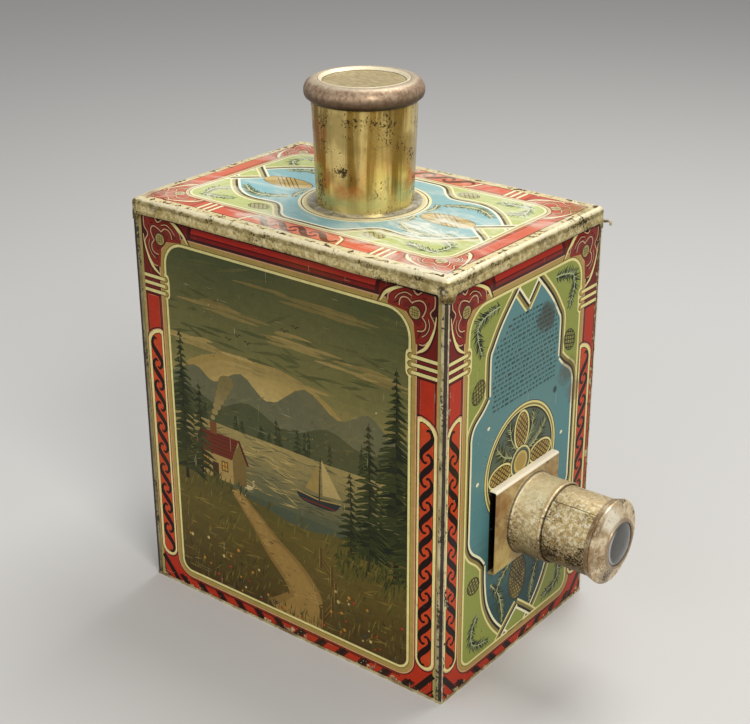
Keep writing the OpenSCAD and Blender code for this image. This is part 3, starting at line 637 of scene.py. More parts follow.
def lathe(profile, steps=128, closed=True):  # profile of (radius, height) in mm, spun round Z
    bm = bmesh.new()
    points = [bm.verts.new((r * mm, 0, h * mm)) for r, h in profile]
    pairs = list(zip(points, points[1:]))
    if closed:
        pairs.append((points[-1], points[0]))
    edges = [bm.edges.new(pair) for pair in pairs]
    bmesh.ops.spin(bm, geom=points + edges, cent=(0, 0, 0), axis=(0, 0, 1), dvec=(0, 0, 0),
                   angle=tau, steps=steps, use_merge=True, use_duplicate=False)
    bmesh.ops.remove_doubles(bm, verts=bm.verts, dist=1e-6)
    bmesh.ops.recalc_face_normals(bm, faces=bm.faces)
    return bm


def roundWobble(bm, amount, across, along, seed=0.0):  # hand-rolled tin is never quite round
    for vert in bm.verts:
        radius = hypot(vert.co.x, vert.co.y)
        if radius < 1e-5:
            continue
        spot = Vector((vert.co.x / radius * across, vert.co.y / radius * across, vert.co.z * along + seed))
        grow = 1 + amount * mm * noise.noise(spot) / radius
        vert.co.x *= grow
        vert.co.y *= grow


def rounded(points, radius, steps):  # rounds the inner corners of an open profile
    path = [Vector(p) for p in points]
    out = [path[0]]
    for before, here, after in zip(path, path[1:], path[2:]):
        cut = min(radius, (before - here).length * 0.45, (after - here).length * 0.45)
        start = here + (before - here).normalized() * cut
        end = here + (after - here).normalized() * cut
        for i in range(steps + 1):
            t = i / steps
            out.append(start * (1 - t) ** 2 + here * 2 * t * (1 - t) + end * t ** 2)
    out.append(path[-1])
    return [(p.x, p.y) for p in out]


# flat artwork, cut into one sheet of coloured faces


def holds(outline, point):  # whether the point lies inside
    inside = False
    x, y = point
    ax, ay = outline[-1]
    for bx, by in outline:
        if (ay > y) != (by > y) and x < (bx - ax) * (y - ay) / (by - ay) + ax:
            inside = not inside
        ax, ay = bx, by
    return inside


def turned(x, y, turn):  # where (u, v) lies on a drawing turned about (x, y)
    c, s = cos(turn), sin(turn)
    return lambda u, v: (x + u * c - v * s, y + u * s + v * c)


class Artwork:  # millimetres; what is drawn later lies on top
    def __init__(self, outline, ground, seed, shade=()):
        self.corners = []
        self.shapes = []
        self.inks = []
        self.folds = []
        self.random = random.Random(seed)
        self.shade = shade
        self.shape(outline, ground)

    def tone(self, colour):  # a name from the inks, or the hex code of a paint
        if isinstance(colour, str):
            return self.shade[colour] if colour in self.shade else paint(colour)
        return colour

    def blend(self, first, second, share):
        return tuple(a + (b - a) * share for a, b in zip(self.tone(first), self.tone(second)))

    def shape(self, points, colour):
        points = [Vector(p[:2]) for p in points]
        turn = sum(a.x * b.y - b.x * a.y for a, b in zip(points, points[1:] + points[:1]))
        if abs(turn) < 1e-4:
            return
        if turn < 0:
            points.reverse()
        start = len(self.corners)
        self.corners += points
        self.shapes.append(list(range(start, start + len(points))))
        self.inks.append(self.tone(colour))

    def ring(self, outer, inner, colour):  # a band between two outlines of as many points
        for i in range(len(outer)):
            self.shape([outer[i - 1], outer[i], inner[i], inner[i - 1]], colour)

    def stroke(self, points, width, colour):  # one width, or one for each point
        path = [Vector(p) for p in points]
        count = len(path)
        widths = width if isinstance(width, (list, tuple)) else [width] * count
        sides = []
        for i, here in enumerate(path):
            before = path[i - 1] if i else here
            after = path[i + 1] if i < count - 1 else here
            first = (here - before).normalized() if (here - before).length else (after - here).normalized()
            second = (after - here).normalized() if (after - here).length else first
            across = Vector((-(first + second).y, (first + second).x))
            across = across.normalized() if across.length > 1e-6 else Vector((-first.y, first.x))
            reach = widths[i] / 2 / max(0.5, abs(across.dot(Vector((-first.y, first.x)))))
            sides.append((here + across * reach, here - across * reach))
        for (a, b), (c, d) in zip(sides, sides[1:]):
            self.shape([a, c, d, b], colour)

    def rectangle(self, left, right, low, high, colour):
        self.shape([(left, low), (right, low), (right, high), (left, high)], colour)

    def oval(self, x, y, across, down, colour, turn=0.0, points=24):
        at = turned(x, y, turn)
        angles = [tau * i / points for i in range(points)]
        self.shape([at(across * cos(a), down * sin(a)) for a in angles], colour)

    def fold(self, first, second):
        start = len(self.corners)
        self.corners += [Vector(first), Vector(second)]
        self.folds.append((start, start + 1))

    def cut(self):  # small triangles, each with the ink of the topmost shape over it
        corners, _, faces, _, _, owners = delaunay_2d_cdt(self.corners, self.folds, self.shapes, 1, 1e-4,
            True)
        outlines = [[self.corners[i] for i in shape] for shape in self.shapes]
        kept, colours = [], []
        for face, owner in zip(faces, owners):
            a, b, c = (corners[i] for i in face[:3])
            if not owner or abs((b - a).cross(c - a)) < 1e-7:
                continue
            middle = (a + b + c) / 3
            top = next((k for k in sorted(owner, reverse=True) if holds(outlines[k], middle)), None)
            if top is None or self.inks[top] is None or not holds(outlines[0], middle):
                continue
            kept.append(face)
            colours.append(self.inks[top])
        return corners, kept, colours

    def sheet(self, place):
        corners, faces, colours = self.cut()
        bm = bmesh.new()
        self.lay(bm, faces, lambda i: place(corners[i].x, corners[i].y), 0, colours)
        return bm

    def lay(self, bm, faces, spot, material, colours=None):
        used = sorted({i for face in faces for i in face})
        index = {old: new for new, old in enumerate(used)}
        mesh = bpy.data.meshes.new("sheet")
        mesh.from_pydata([spot(i) for i in used], [], [[index[i] for i in face] for face in faces])
        mesh.polygons.foreach_set("material_index", [material] * len(faces))
        if colours:
            layer = mesh.color_attributes.new("ink", "FLOAT_COLOR", "CORNER")
            flat = [part for face, colour in zip(faces, colours) for _ in face for part in colour]
            layer.data.foreach_set("color", flat)
        bm.from_mesh(mesh)
        bpy.data.meshes.remove(mesh)

    def panel(self, place, thickness):  # the printed sheet, its edge and its plain back
        corners, faces, colours = self.cut()
        bm = bmesh.new()
        self.lay(bm, faces, lambda i: place(corners[i].x, corners[i].y, 0), 0, colours)
        printed = len(bm.faces)
        verts, _ = extruded(bm, [e for e in bm.edges if e.is_boundary])
        inward = Vector(place(0, 0, thickness)) - Vector(place(0, 0, 0))
        bmesh.ops.translate(bm, vec=inward, verts=verts)
        for face in list(bm.faces)[printed:]:
            face.material_index = 1
        count = Counter(tuple(sorted(pair)) for face in faces for pair in zip(face, face[1:] + face[:1]))
        points = [corners[i] for pair, times in count.items() if times == 1 for i in pair]
        points += [self.corners[i] for fold in self.folds for i in fold]
        lines = [(i, i + 1) for i in range(0, len(points), 2)]
        spots, _, backs, _, _, _ = delaunay_2d_cdt(points, lines, [], 1, 1e-4, False)
        holes = [[self.corners[i] for i in shape] for shape, tone in zip(self.shapes, self.inks)
            if tone is None]
        backs = [face[::-1] for face in backs if not any(
            holds(hole, sum((spots[i] for i in face), Vector((0, 0))) / len(face)) for hole in holes)]
        self.lay(bm, backs, lambda i: place(spots[i].x, spots[i].y, thickness), 1)
        bmesh.ops.remove_doubles(bm, verts=bm.verts, dist=2e-6)
        bmesh.ops.recalc_face_normals(bm, faces=bm.faces)
        return bm


def curve(points, per=5, closed=False):  # a smooth line through the points
    path = [Vector(p) for p in points]
    count = len(path)
    out = []
    for i in range(count if closed else count - 1):
        if closed:
            p0, p1, p2, p3 = (path[(i + k) % count] for k in (-1, 0, 1, 2))
        else:
            p0, p1, p2, p3 = path[max(i - 1, 0)], path[i], path[i + 1], path[min(i + 2, count - 1)]
        for k in range(per):
            t = k / per
            out.append(0.5 * (2 * p1 + (p2 - p0) * t + (2 * p0 - 5 * p1 + 4 * p2 - p3) * t * t
                              + (3 * p1 - p0 - 3 * p2 + p3) * t ** 3))
    if not closed:
        out.append(path[-1])
    return out


def roundedBox(left, right, low, high, radii, steps=7):  # radii of the lower and the upper corners
    down, up = radii
    out = []
    corners = [
        (right - up, high - up, up, 0), (left + up, high - up, up, 90),
        (left + down, low + down, down, 180), (right - down, low + down, down, 270),
    ]
    for cx, cy, r, start in corners:
        for i in range(steps + 1):
            a = radians(start + 90 * i / steps)
            out.append((cx + r * cos(a), cy + r * sin(a)))
    return out


def beside(points, offset):  # the line moved to its left
    path = [Vector(p) for p in points]
    out = []
    for i, here in enumerate(path):
        before, after = path[max(i - 1, 0)], path[min(i + 1, len(path) - 1)]
        along = (after - before).normalized()
        out.append(here + Vector((-along.y, along.x)) * offset)
    return out


inkCodes = {
    "red": "B02D13", "deepRed": "6E1610", "maroon": "1A0402", "wine": "400A07", "petal": "842116",
    "cream": "E3D897", "white": "EFEACB", "pink": "CF9A78", "tan": "A9904F", "olive": "5E5224",
    "bare": "A8985F", "lime": "8C9547", "blue": "55858D", "blueDark": "2C5054", "line": "120B05",
    "needle": "131B0B", "needleMid": "3C4922", "needlePale": "A9B287", "cone": "A58A45",
    "coneDark": "241809", "conePale": "C4AE68", "slate": "4E6056", "teal": "12302F", "orange": "BE421D",
    "bundle": "857941", "coneGround": "7E7F3C", "bandHigh": "A92A20", "bandLow": "7A110E",
}
lidInkCodes = {
    "red": "D4624A", "deepRed": "BE5C49", "maroon": "68301F", "wine": "AE5140", "petal": "CC6C56",
    "cream": "F0E8C2", "lime": "BCC67E", "blue": "8DBBC8", "blueDark": "7AAFC2", "needle": "414F2A",
    "needleMid": "7F8E56", "needlePale": "D9DEBC", "cone": "C9AC68", "coneDark": "5E4A22",
    "conePale": "E4D096", "tan": "D0C290", "pink": "E5BE9E", "line": "33281A", "orange": "DB765B",
    "slate": "A9BDB8", "bare": "DCCDA0", "white": "F7F4DF", "bundle": "B9B27E", "coneGround": "B4B578",
}
inks = {name: ink(code) for name, code in inkCodes.items()}
lidInks = {name: ink(lidInkCodes.get(name, code)) for name, code in inkCodes.items()}


def cornerFlower(art, x, y, sx, sy, arc, size=1.0):
    def at(points):
        return [(x + sx * a * size, y + sy * b * size) for a, b in points]

    def put(swap, points):  # mirrored about the diagonal if swap is set
        return at([(b, a) for a, b in points] if swap else points)

    def outlined(points, width):
        art.stroke(points, (width + 0.75) * size, "maroon")
        art.stroke(points, width * size, "pink")

    cx, cy, r = arc  # the frame's corner, which the ground follows
    ground = [(cx / size, (cy - r) / size)]
    ground += [((cx - r * sin(t)) / size, (cy - r * cos(t)) / size)
               for t in (pi / 2 * i / 8 for i in range(9))]
    art.shape(at([(0, 0), (30, 0), (30, ground[0][1])] + ground + [(ground[-1][0], 28), (0, 28)]), "wine")
    for swap in (False, True):
        art.shape(put(swap, [(0.4, 28)] + curve([(9.6, 28), (5.6, 25), (2.8, 20), (1.2, 14.5), (0.6, 11)],
            3) + [(0.4, 11)]), "deepRed")
        art.shape(put(swap, curve([(10.5, 24), (6.5, 23.5), (3.5, 20.5), (2, 17.5), (1.6, 14), (2.6, 11.5),
            (3.9, 10)], 3) + [(9, 9), (12, 12)]), "petal")
    art.shape(at(curve([(3.6, 10), (1.9, 7), (1.4, 3.2), (3.2, 1.4), (7, 1.9), (10, 3.6)], 4)
        + [(12, 12)]), "petal")
    for swap in (False, True):
        outlined(put(swap, curve([(8.8, 23.8), (6.3, 23.4), (3.5, 20.3), (1.9, 17), (1.7, 13.6), (3.7, 10),
            (1.8, 7.2), (1.5, 4.2)], 5)), 0.6)
        outlined(put(swap, curve([(7.6, 20.4), (5.4, 18.6), (4.0, 15.4), (4.6, 12.4)], 4)), 0.4)
        art.stroke(put(swap, [(9.6, 21.5), (8.2, 18.8)]), [0.3, 0.9], "wine")
        art.stroke(put(swap, [(4.4, 7.6), (4.6, 5.6)]), [0.3, 0.8], "wine")
        art.stroke(put(swap, curve([(10, 27.6), (6.0, 24.8), (3.2, 20), (1.5, 14.8), (0.9, 10.5)], 5)),
            [0.5, 0.7, 0.9, 1.1, 1.2, 1.3, 1.35, 1.35, 1.3, 1.2, 1.1, 1.0, 0.9, 0.8, 0.7, 0.6, 0.5, 0.45,
            0.4, 0.35, 0.3], "cream")
        art.stroke(put(swap, curve([(10.6, 29), (5.2, 25.8), (2.3, 20.6), (0.7, 15.2)], 5)), 0.45, "maroon")
    outlined(at(curve([(1.5, 4.2), (1.9, 2.2), (4.2, 1.5)], 4)), 0.6)
    art.shape(at(curve([(16.4, 9.2), (14.4, 7.4), (12.3, 7.3), (11.3, 6.8), (8.5, 5.8), (6.4, 6.4),
        (5.8, 8.5), (6.8, 11.3), (7.3, 12.3), (7.4, 14.4), (9.2, 16.4), (13, 14)], 4, True)), "deepRed")
    outlined(at(curve([(18.4, 9.8), (18.0, 7.5), (16.6, 6.0), (14.2, 5.9), (12.3, 7.4), (11.3, 6.8),
        (8.5, 5.7), (6.4, 6.4), (5.7, 8.5), (6.8, 11.3), (7.4, 12.3), (5.9, 14.2), (6.0, 16.6),
        (7.5, 18.0), (9.8, 18.4)], 4)), 0.6)
    cx, cy = at([(11.0, 11.2)])[0]
    art.oval(cx, cy, 3.0 * size, 3.0 * size, "maroon")
    art.oval(cx, cy, 2.6 * size, 2.6 * size, "bare")
    for k in (-1.2, 0.0, 1.2):
        art.stroke([(cx - 2 * size, cy + k * size), (cx + 2 * size, cy + k * size * 0.7)], 0.35 * size,
            "olive")
        art.stroke([(cx + k * size, cy - 2 * size), (cx + k * 0.8 * size, cy + 2 * size)], 0.3 * size,
            "olive")


def scrollRow(art, place, length, width, pitch):
    # one S after another: place turns (along, across) into the sheet's own numbers
    count = int(length // pitch)
    gap = (length - count * pitch) / 2
    for k in range(count):
        base = gap + (k + 0.5) * pitch
        path = [(-6.6, 0.52), (-7.3, 0.36), (-6.4, 0.18), (-4.4, 0.08), (-2.2, 0.22), (0, 0.5),
            (2.2, 0.78), (4.4, 0.92), (6.4, 0.82), (7.3, 0.64), (6.6, 0.48)]
        scale = pitch / 10.6
        points = [place(base + a * scale, c * width) for a, c in path]
        bold = [0.9, 1.25, 1.5, 1.9, 2.6, 3.0, 2.6, 1.9, 1.5, 1.25, 0.9]
        line = curve(points, 3)
        widths = []
        for i in range(len(line)):
            t = i / 3
            j = min(int(t), len(bold) - 2)
            widths.append((bold[j] + (bold[j + 1] - bold[j]) * (t - j)) * width / 7)
        art.stroke(line, widths, "maroon")


borderLook = {
    "top": 184.5,  # upper edge of the print
    "band": 9.2,  # width of the red band at the sides
    "flowerEnd": 28,  # how far down the corner flower and the bars run
    "barsEnd": 38,
    "panelTop": 37.9,  # how far down the plain panel's line starts
    "bar": [29.4, 32.8, 36.2],
    "barWidth": 1.45,
    "scrollPitch": 10.6,
    "dashPitch": 12.0,
    "frameTop": 177.0,
    "frameLow": 5.6,
    "corner": (9.5, 15.0),
    "pillar": [  # near and far edge, foot, shoulder, crown
        (-0.9, 9.7, 12.6, 124.6, 131.6, "maroon"), (-0.6, 9.3, 13.2, 124.0, 130.9, "pink"),
        (-0.2, 9.1, 13.7, 123.6, 130.4, "cream"), (1.0, 8.2, 14.9, 122.4, 128.8, "maroon"),
        (1.3, 7.9, 15.2, 122.0, 128.4, "orange"),
    ],
    "lines": [  # start, end and colour of each line of the frame
        (0.0, 0.5, "maroon"), (0.5, 1.1, "pink"), (1.1, 3.1, "tan"), (3.1, 3.45, "olive"),
        (3.45, 4.6, "cream"),
    ],
}


def frameLines(art, half, low, high, radii, lines):
    def inset(by):
        return roundedBox(-half + by, half - by, low + by, high - by, [r - by for r in radii])

    for start, end, colour in lines:
        art.ring(inset(start), inset(end), colour)


def wallBorder(art, half, edge, look, aside=0.0):
    # half: where the border's outer line runs, edge: half the sheet's width
    # aside: how far the printer set the right-hand pillar over the frame
    top, low, high, band = look["top"], look["frameLow"], look["frameTop"], look["band"]
    panelTop = top - look["panelTop"]
    inner = half - band
    frameBox = roundedBox(-inner, inner, low, high, look["corner"])
    art.ring(roundedBox(-edge - 1, edge + 1, -1, 190, (0.2, 0.2)), frameBox, "bare")
    art.ring(roundedBox(-half, half, 1.0, top, (0.2, 0.2)), frameBox, "red")
    # upper band, its lower half in shade
    art.rectangle(-inner, inner, 177, 179.6, "bandLow")
    art.rectangle(-inner, inner, 179.6, top, "bandHigh")
    art.stroke([(-inner, 177.4), (inner, 177.4)], 0.6, "maroon")
    art.stroke([(-inner, 179.6), (inner, 179.6)], 0.45, "wine")
    frameLines(art, inner, low, high, look["corner"], look["lines"])
    for side in (-1, 1):
        x = side * half
        cornerFlower(art, x, top, -side, -1, (band + 15, 7.5 + 15, 14.9))
        # bars between the flower and the plain panel
        art.rectangle(x, x - side * band, top - look["flowerEnd"], top - look["barsEnd"], "deepRed")
        for down in look["bar"]:
            for more, colour in ((0.7, "maroon"), (0, "cream")):
                art.stroke([(x, top - down), (x - side * 11, top - down)], look["barWidth"] + more, colour)
        art.stroke([(x - side * 0.7, panelTop), (x - side * 0.7, 128)], 0.5, "maroon")
        art.stroke([(x - side * 8.6, panelTop), (x - side * 8.6, 130)], 0.5, "maroon")
        art.stroke([(x, panelTop), (x - side * band, panelTop)], 0.5, "maroon")
        for a, foot in ((1.3, 128), (8.0, 130)):
            art.stroke([(x - side * a, top - 38.4), (x - side * a, foot)], 0.5,
                art.blend("red", "slate", 0.35))

        # pillar with its scrolls
        over = aside if side > 0 else 0.0

        def pillar(near, far, low, shoulder, crown):
            reach = (far - near) / 2
            middle = (far + near) / 2
            angles = [pi + pi * i / 10 for i in range(11)]
            points = [(middle + reach * cos(a), low + reach + reach * sin(a)) for a in angles]
            points.append((far, crown - 0.6))
            for a in (radians(degrees) for degrees in (10, 25, 40, 55, 70, 83, 90)):
                points.append((far - (far - near) * sin(a), shoulder + (crown - shoulder) * cos(a)))
            return [(x - over - side * a, z) for a, z in points]

        for *sizes, colour in look["pillar"]:
            art.shape(pillar(*sizes), colour)
        scrollRow(art, lambda a, c: (x - over - side * (7.9 - c), 16.6 + a), 108, 6.6, look["scrollPitch"])
        # lower corner
        art.shape([(x, 1), (x - side * 9, 1), (x, 12.4)], "red")
        art.stroke([(x - side * 9.5, 0.8), (x + side * 0.2, 12.4)], 2.7, "maroon")
        art.stroke([(x - side * 3.4, 0.8), (x + side * 0.2, 5.0)], 0.8, "maroon")
        art.stroke([(x - side * 0.3, 1), (x - side * 0.3, 13)], 0.5, "maroon")
    # lower band
    art.stroke([(-inner + 8, 5.0), (inner - 8, 5.0)], 0.5, "maroon")
    reach = inner - 5
    count = int(reach // look["dashPitch"]) + 1
    for side in (-1, 1):
        for k in range(count):
            x = side * (k + 0.5) * look["dashPitch"]
            art.shape([(x - side * 4.0, 1.2), (x + side * 1.2, 1.2), (x + side * 4.4, 4.9),
                (x - side * 0.8, 4.9)], "wine")
            art.stroke([(x - side * 2.2, 0.8), (x + side * 2.2, 5.2)], 1.6, "maroon")
    art.stroke([(-half, 1.1), (half, 1.1)], 0.5, "maroon")
    art.rectangle(-edge - 1, edge + 1, 182.0, 190, "line")  # painted shadow under the rim
    for side in (-1, 1):  # three small bumps where the bars meet the frame
        x = side * (inner - 4.2)
        art.shape(curve([(x, 158), (x - side * 1.6, 156.4), (x - side * 1.9, 152), (x - side * 1.6, 147.4),
            (x, 146)], 4) + [(x + side * 1, 146), (x + side * 1, 158)], "cream")
        for down in look["bar"]:
            z = top - down
            art.oval(x + side * 0.7, z, 1.75, 1.5, "olive", points=14)
            art.oval(x + side * 1.0, z, 1.55, 1.15, "tan", points=14)
            art.rectangle(x + side * 1.0, x + side * 4.2, z - 0.6, z + 0.6, "cream")


def sprig(art, spine, reach):
    line = curve(spine, 6)
    lengths = [0.0]
    for a, b in zip(line, line[1:]):
        lengths.append(lengths[-1] + (b - a).length)
    art.stroke(line, [reach * (0.4 + 0.7 * sin(pi * i / len(line))) for i in range(len(line))],
               art.blend("needleMid", "lime", 0.3))
    count = int(lengths[-1] / 0.95)
    rng = art.random
    for k in range(count):
        far = lengths[-1] * (k + 0.5) / count
        i = min(max(j for j in range(len(lengths)) if lengths[j] <= far), len(line) - 2)
        along = (line[i + 1] - line[i]).normalized()
        here = line[i] + along * (far - lengths[i])
        t = far / lengths[-1]
        size = reach * (0.6 + 0.8 * sin(pi * min(1, t * 0.85 + 0.12)))
        for side in (-1, 1):
            lean = radians(rng.uniform(34, 60)) * side
            tip = here + Matrix.Rotation(lean, 2) @ along * size * rng.uniform(0.75, 1.15)
            root = Vector((-(tip - here).y, (tip - here).x)).normalized() * 0.5
            art.shape([here - root, here.lerp(tip, 0.7) - root * 0.6, tip, here + root],
                      "needle" if rng.random() < 0.85 else "needleMid")
            if rng.random() < 0.5:
                light = here.lerp(tip, rng.uniform(0.6, 0.85))
                art.shape([here - root * 0.35, light, here + root * 0.6], "needlePale")
    art.stroke(line, [0.7 - 0.4 * i / len(line) for i in range(len(line))], "needlePale")


def pineCone(art, x, y, across, down, turn=0.0, outline=None, ground="cone"):
    if outline:
        art.oval(x, y, across + 1.7, down + 1.7, "line", turn)
        art.oval(x, y, across + 1.3, down + 1.3, outline, turn)
    art.oval(x, y, across + 0.35, down + 0.35, "coneDark", turn)
    art.oval(x, y, across - 0.1, down - 0.1, ground, turn)
    at = turned(x, y, turn)
    pitch = 1.75
    rows = int(2 * down / pitch)
    for j in range(rows):  # a pale fleck on each scale
        v = -down + (j + 0.5) * 2 * down / rows
        wide = across * sqrt(max(0.0, 1 - (v / down) ** 2)) - 0.5
        count = int(2 * wide / pitch)
        for k in range(count):
            u = (k - (count - 1) / 2) * pitch
            art.shape([at(u - 0.42, v), at(u, v - 0.3), at(u + 0.42, v), at(u, v + 0.5)], "conePale")
    for lean in (0.85, -0.85):  # two crossing sets of lines
        dx, dy = cos(lean), sin(lean)
        reach = max(across, down) * 1.3
        for k in range(-int(reach / pitch), int(reach / pitch) + 1):
            px, py = -dy * k * pitch, dx * k * pitch
            a = (dx / across) ** 2 + (dy / down) ** 2
            b = 2 * (px * dx / across ** 2 + py * dy / down ** 2)
            c = (px / across) ** 2 + (py / down) ** 2 - 1
            root = b * b - 4 * a * c
            if root > 0.05:
                t1, t2 = (-b - sqrt(root)) / (2 * a), (-b + sqrt(root)) / (2 * a)
                art.stroke([at(px + dx * t1, py + dy * t1), at(px + dx * t2, py + dy * t2)], 0.48,
                    "coneDark")


def lineBundle(art, points, flip):  # bright, tan, dark and white lines side by side
    line = curve(points)
    art.stroke(line, 4.5, "bundle")
    for offset, width, colour in ((1.85, 0.95, "cream"), (-0.65, 1.25, "line"), (-1.7, 1.1, "white")):
        art.stroke(beside(line, flip * offset), width, colour)


def scaled(points, across, along=1):  # mirrors a line where a factor is -1
    return [(across * x, along * y) for x, y in points]


frontMotif = {
    "side": [(9.3, 172.0), (15.0, 166.3), (20.6, 160.0), (25.2, 153.2), (27.4, 149.0), (27.6, 140.0),
             (27.4, 131.2)],
    "shoulder": [(27.4, 131.2), (31.0, 127.6), (37.0, 123.0), (39.6, 117.6), (39.8, 110.0), (39.8, 76.0),
                 (39.6, 68.0), (36.8, 62.4), (31.0, 57.4), (27.4, 53.0)],
    "foot": [(27.4, 53.0), (27.0, 44.0), (25.4, 34.0), (22.0, 26.0), (17.4, 19.0), (11.2, 12.2)],
    "notch": [(0.0, 161.6), (3.6, 165.6), (9.3, 172.0)],
    "lowNotch": [(0.0, 21.4), (5.0, 17.4), (11.2, 12.2)],
    "medallion": (-1.0, 92.0, 27.2),  # centre and radius
}


def frontField(art, look, dashes=True):
    inset = 4.4  # the field ends under the frame's last line
    inner = 45.3 - inset
    low, high = borderLook["frameLow"] + inset, borderLook["frameTop"] - inset
    art.shape(roundedBox(-inner, inner, low, high, (5.1, 10.6)), "lime")
    side = curve(look["side"], 5) + curve(look["shoulder"], 5)[1:] + curve(look["foot"], 5)[1:]
    notch, lowNotch = ([Vector(p) for p in look[key][:2]] for key in ("notch", "lowNotch"))
    right = notch + side + lowNotch[::-1]
    left = [Vector((-p.x, p.y)) for p in reversed(right)]
    art.shape(right + left[1:-1], "blue")
    for k in range(9):  # the field darkens towards its foot
        level = 72 - 5 * k
        foot = [p for p in right if p.y < level]
        art.shape(foot + [(-p.x, p.y) for p in reversed(foot[:-1])],
            art.blend("blue", "blueDark", (k + 1) / 8))
    if dashes:  # rows of plain short dashes where the upper field would look empty
        rng = art.random
        for row in range(18):
            z = 123.6 + row * 2.12
            wide = 24.4 if z < 150 else 24.4 - (z - 150) * 1.25
            y = -wide + rng.uniform(0, 2)
            while y < wide - 1:
                long = min(rng.uniform(0.9, 2.9), wide - y)
                thick = rng.uniform(0.42, 0.62)
                art.shape([(y, z - thick), (y + long, z - thick * 0.8), (y + long + 0.2, z + thick * 0.7),
                    (y + 0.3, z + thick)], art.blend("teal", "blue", rng.uniform(0.0, 0.35)))
                y += long + rng.uniform(0.5, 1.0)
    x, z, r = look["medallion"]
    for start, colour in ((0.0, "line"), (0.35, "cream"), (1.25, "bundle"), (2.15, "cream"),
            (2.75, "line"), (3.6, "slate")):
        art.oval(x, z, r - start, r - start, colour, points=72)
    for side, lean in ((-1, 0.95), (1, 0.95), (-1, 0.42), (1, 0.42), (-1, -0.6), (1, -0.6)):
        a = pi / 2 + side * lean if lean > 0 else -pi / 2 - side * lean
        start = Vector((x + 7 * cos(a), z + 7 * sin(a)))
        end = Vector((x + 22.5 * cos(a), z + 22.5 * sin(a)))
        bend = Vector((-sin(a), cos(a))) * side * 1.6
        sprig(art, [start, (start + end) / 2 + bend, end], 4.6)
    for side in (1, -1):
        pineCone(art, x, z + side * 15.0, 4.5, 7.9, outline="cream")
    for side in (-1, 1):
        pineCone(art, x + side * 15.2, z - 0.6, 4.0, 7.6, pi / 2, outline="cream")
    for r, colour in ((7.9, "line"), (7.5, "cream"), (6.7, "slate"), (5.6, "line"), (5.2, "conePale"),
            (3.9, "tan")):
        art.oval(x, z, r, r, colour, points=32)
    pineCone(art, 0, 35, 6.8, 11.0, ground="olive")
    for side in (-1, 1):
        sprig(art, scaled([(21, 41), (14.5, 33), (11.6, 23), (10.8, 17)], side), 3.6)
        sprig(art, scaled([(3, 47), (11, 42), (17, 35)], side), 3.0)
    lines = [
        (look["notch"] + [(14.2, 177.0)], -1), ([(4.6, 177.0)] + look["side"], 1), (look["shoulder"], 1),
        (look["foot"] + [(7.2, 8.0)], 1), (look["lowNotch"] + [(15.6, 8.2)], 1),
    ]
    for points, flip in lines:
        lineBundle(art, points, flip)
        lineBundle(art, scaled(points, -1), -flip)
    for side in (-1, 1):
        sprig(art, scaled([(20.5, 168.4), (28, 167.6), (34.5, 165.4), (35.6, 160), (32.4, 151.6)], side),
            4.0)
        sprig(art, scaled([(30.0, 31), (33.6, 26.6), (34.8, 21), (31.8, 16), (22, 13.6)], side), 3.6)
        pineCone(art, side * 34.0, 136.2, 4.0, 5.2, side * 0.6, ground="coneGround")
        pineCone(art, side * 34.0, 47.0, 4.4, 3.8, side * 0.35, ground="coneGround")


frontWear = {"chips": [(-26, 117.2, 1.0), (-33, 94.6, 1.1), (31, 93.4, 1.0)], "stain": (24, 116.4, 1.5)}


# picture of a lake in the evening, with firs and a cottage


def paint(code):  # the picture is darker and browner than the frame
    return tuple(level * tone for level, tone in zip(ink(code), (0.60, 0.52, 0.36, 1.0)))


def ridge(art, base, points, flip, colour):  # a skyline across the whole picture
    line = curve([(x * flip, z) for x, z in points][::flip], 4)
    art.shape([(-70, base)] + line + [(70, base)], colour)


def fir(art, x, base, height, spread, dark, light):
    rng = art.random
    art.stroke([(x, base), (x + 0.3, base + height * 0.5), (x, base + height)],
        [height * 0.03, height * 0.02, 0.2], "2E2415")
    rows = max(5, int(height / 3.3))
    for k in range(rows):
        t = k / rows
        z = base + height * (0.10 + 0.9 * t)
        wide = spread * (1 - t) ** 0.85 * rng.uniform(0.82, 1.08) + 0.5
        for side in (-1, 1):
            for _ in range(3 if height > 60 else 2):
                reach = wide * rng.uniform(0.55, 1.0)
                sag = reach * rng.uniform(0.22, 0.42)
                start = (x + side * 0.2, z + rng.uniform(-1, 1.4))
                mid = (x + side * reach * 0.55, z - sag * 0.35)
                end = (x + side * reach, z - sag)
                colour = art.blend(dark, light, rng.uniform(0, 0.45))
                thick = min(3.0, 0.8 + reach * 0.18)
                art.stroke([start, mid, end], [thick, thick * 0.8, 0.25], colour)
            if height > 20 and rng.random() < 0.8:
                reach = wide * rng.uniform(0.5, 1.0)
                art.stroke([(x + side * reach * 0.35, z + 0.2), (x + side * reach, z - reach * 0.28)],
                    [0.25, 0.6], art.blend(dark, light, rng.uniform(0.6, 1.0)))


def dabs(art, count, box, size, colours, slope=0.0, thin=0.35):
    rng = art.random
    left, right, low, high = box
    for _ in range(count):
        x, z = rng.uniform(left, right), rng.uniform(low, high)
        a = slope + rng.gauss(0, 0.18)
        reach = size * rng.uniform(0.5, 1.5)
        dx, dz = cos(a) * reach, sin(a) * reach
        wx, wz = -sin(a) * size * thin * 0.5, cos(a) * size * thin * 0.5
        colour = art.blend(*colours, rng.random())
        art.shape([(x - dx, z - dz), (x + wx, z + wz), (x + dx, z + dz), (x - wx, z - wz)], colour)


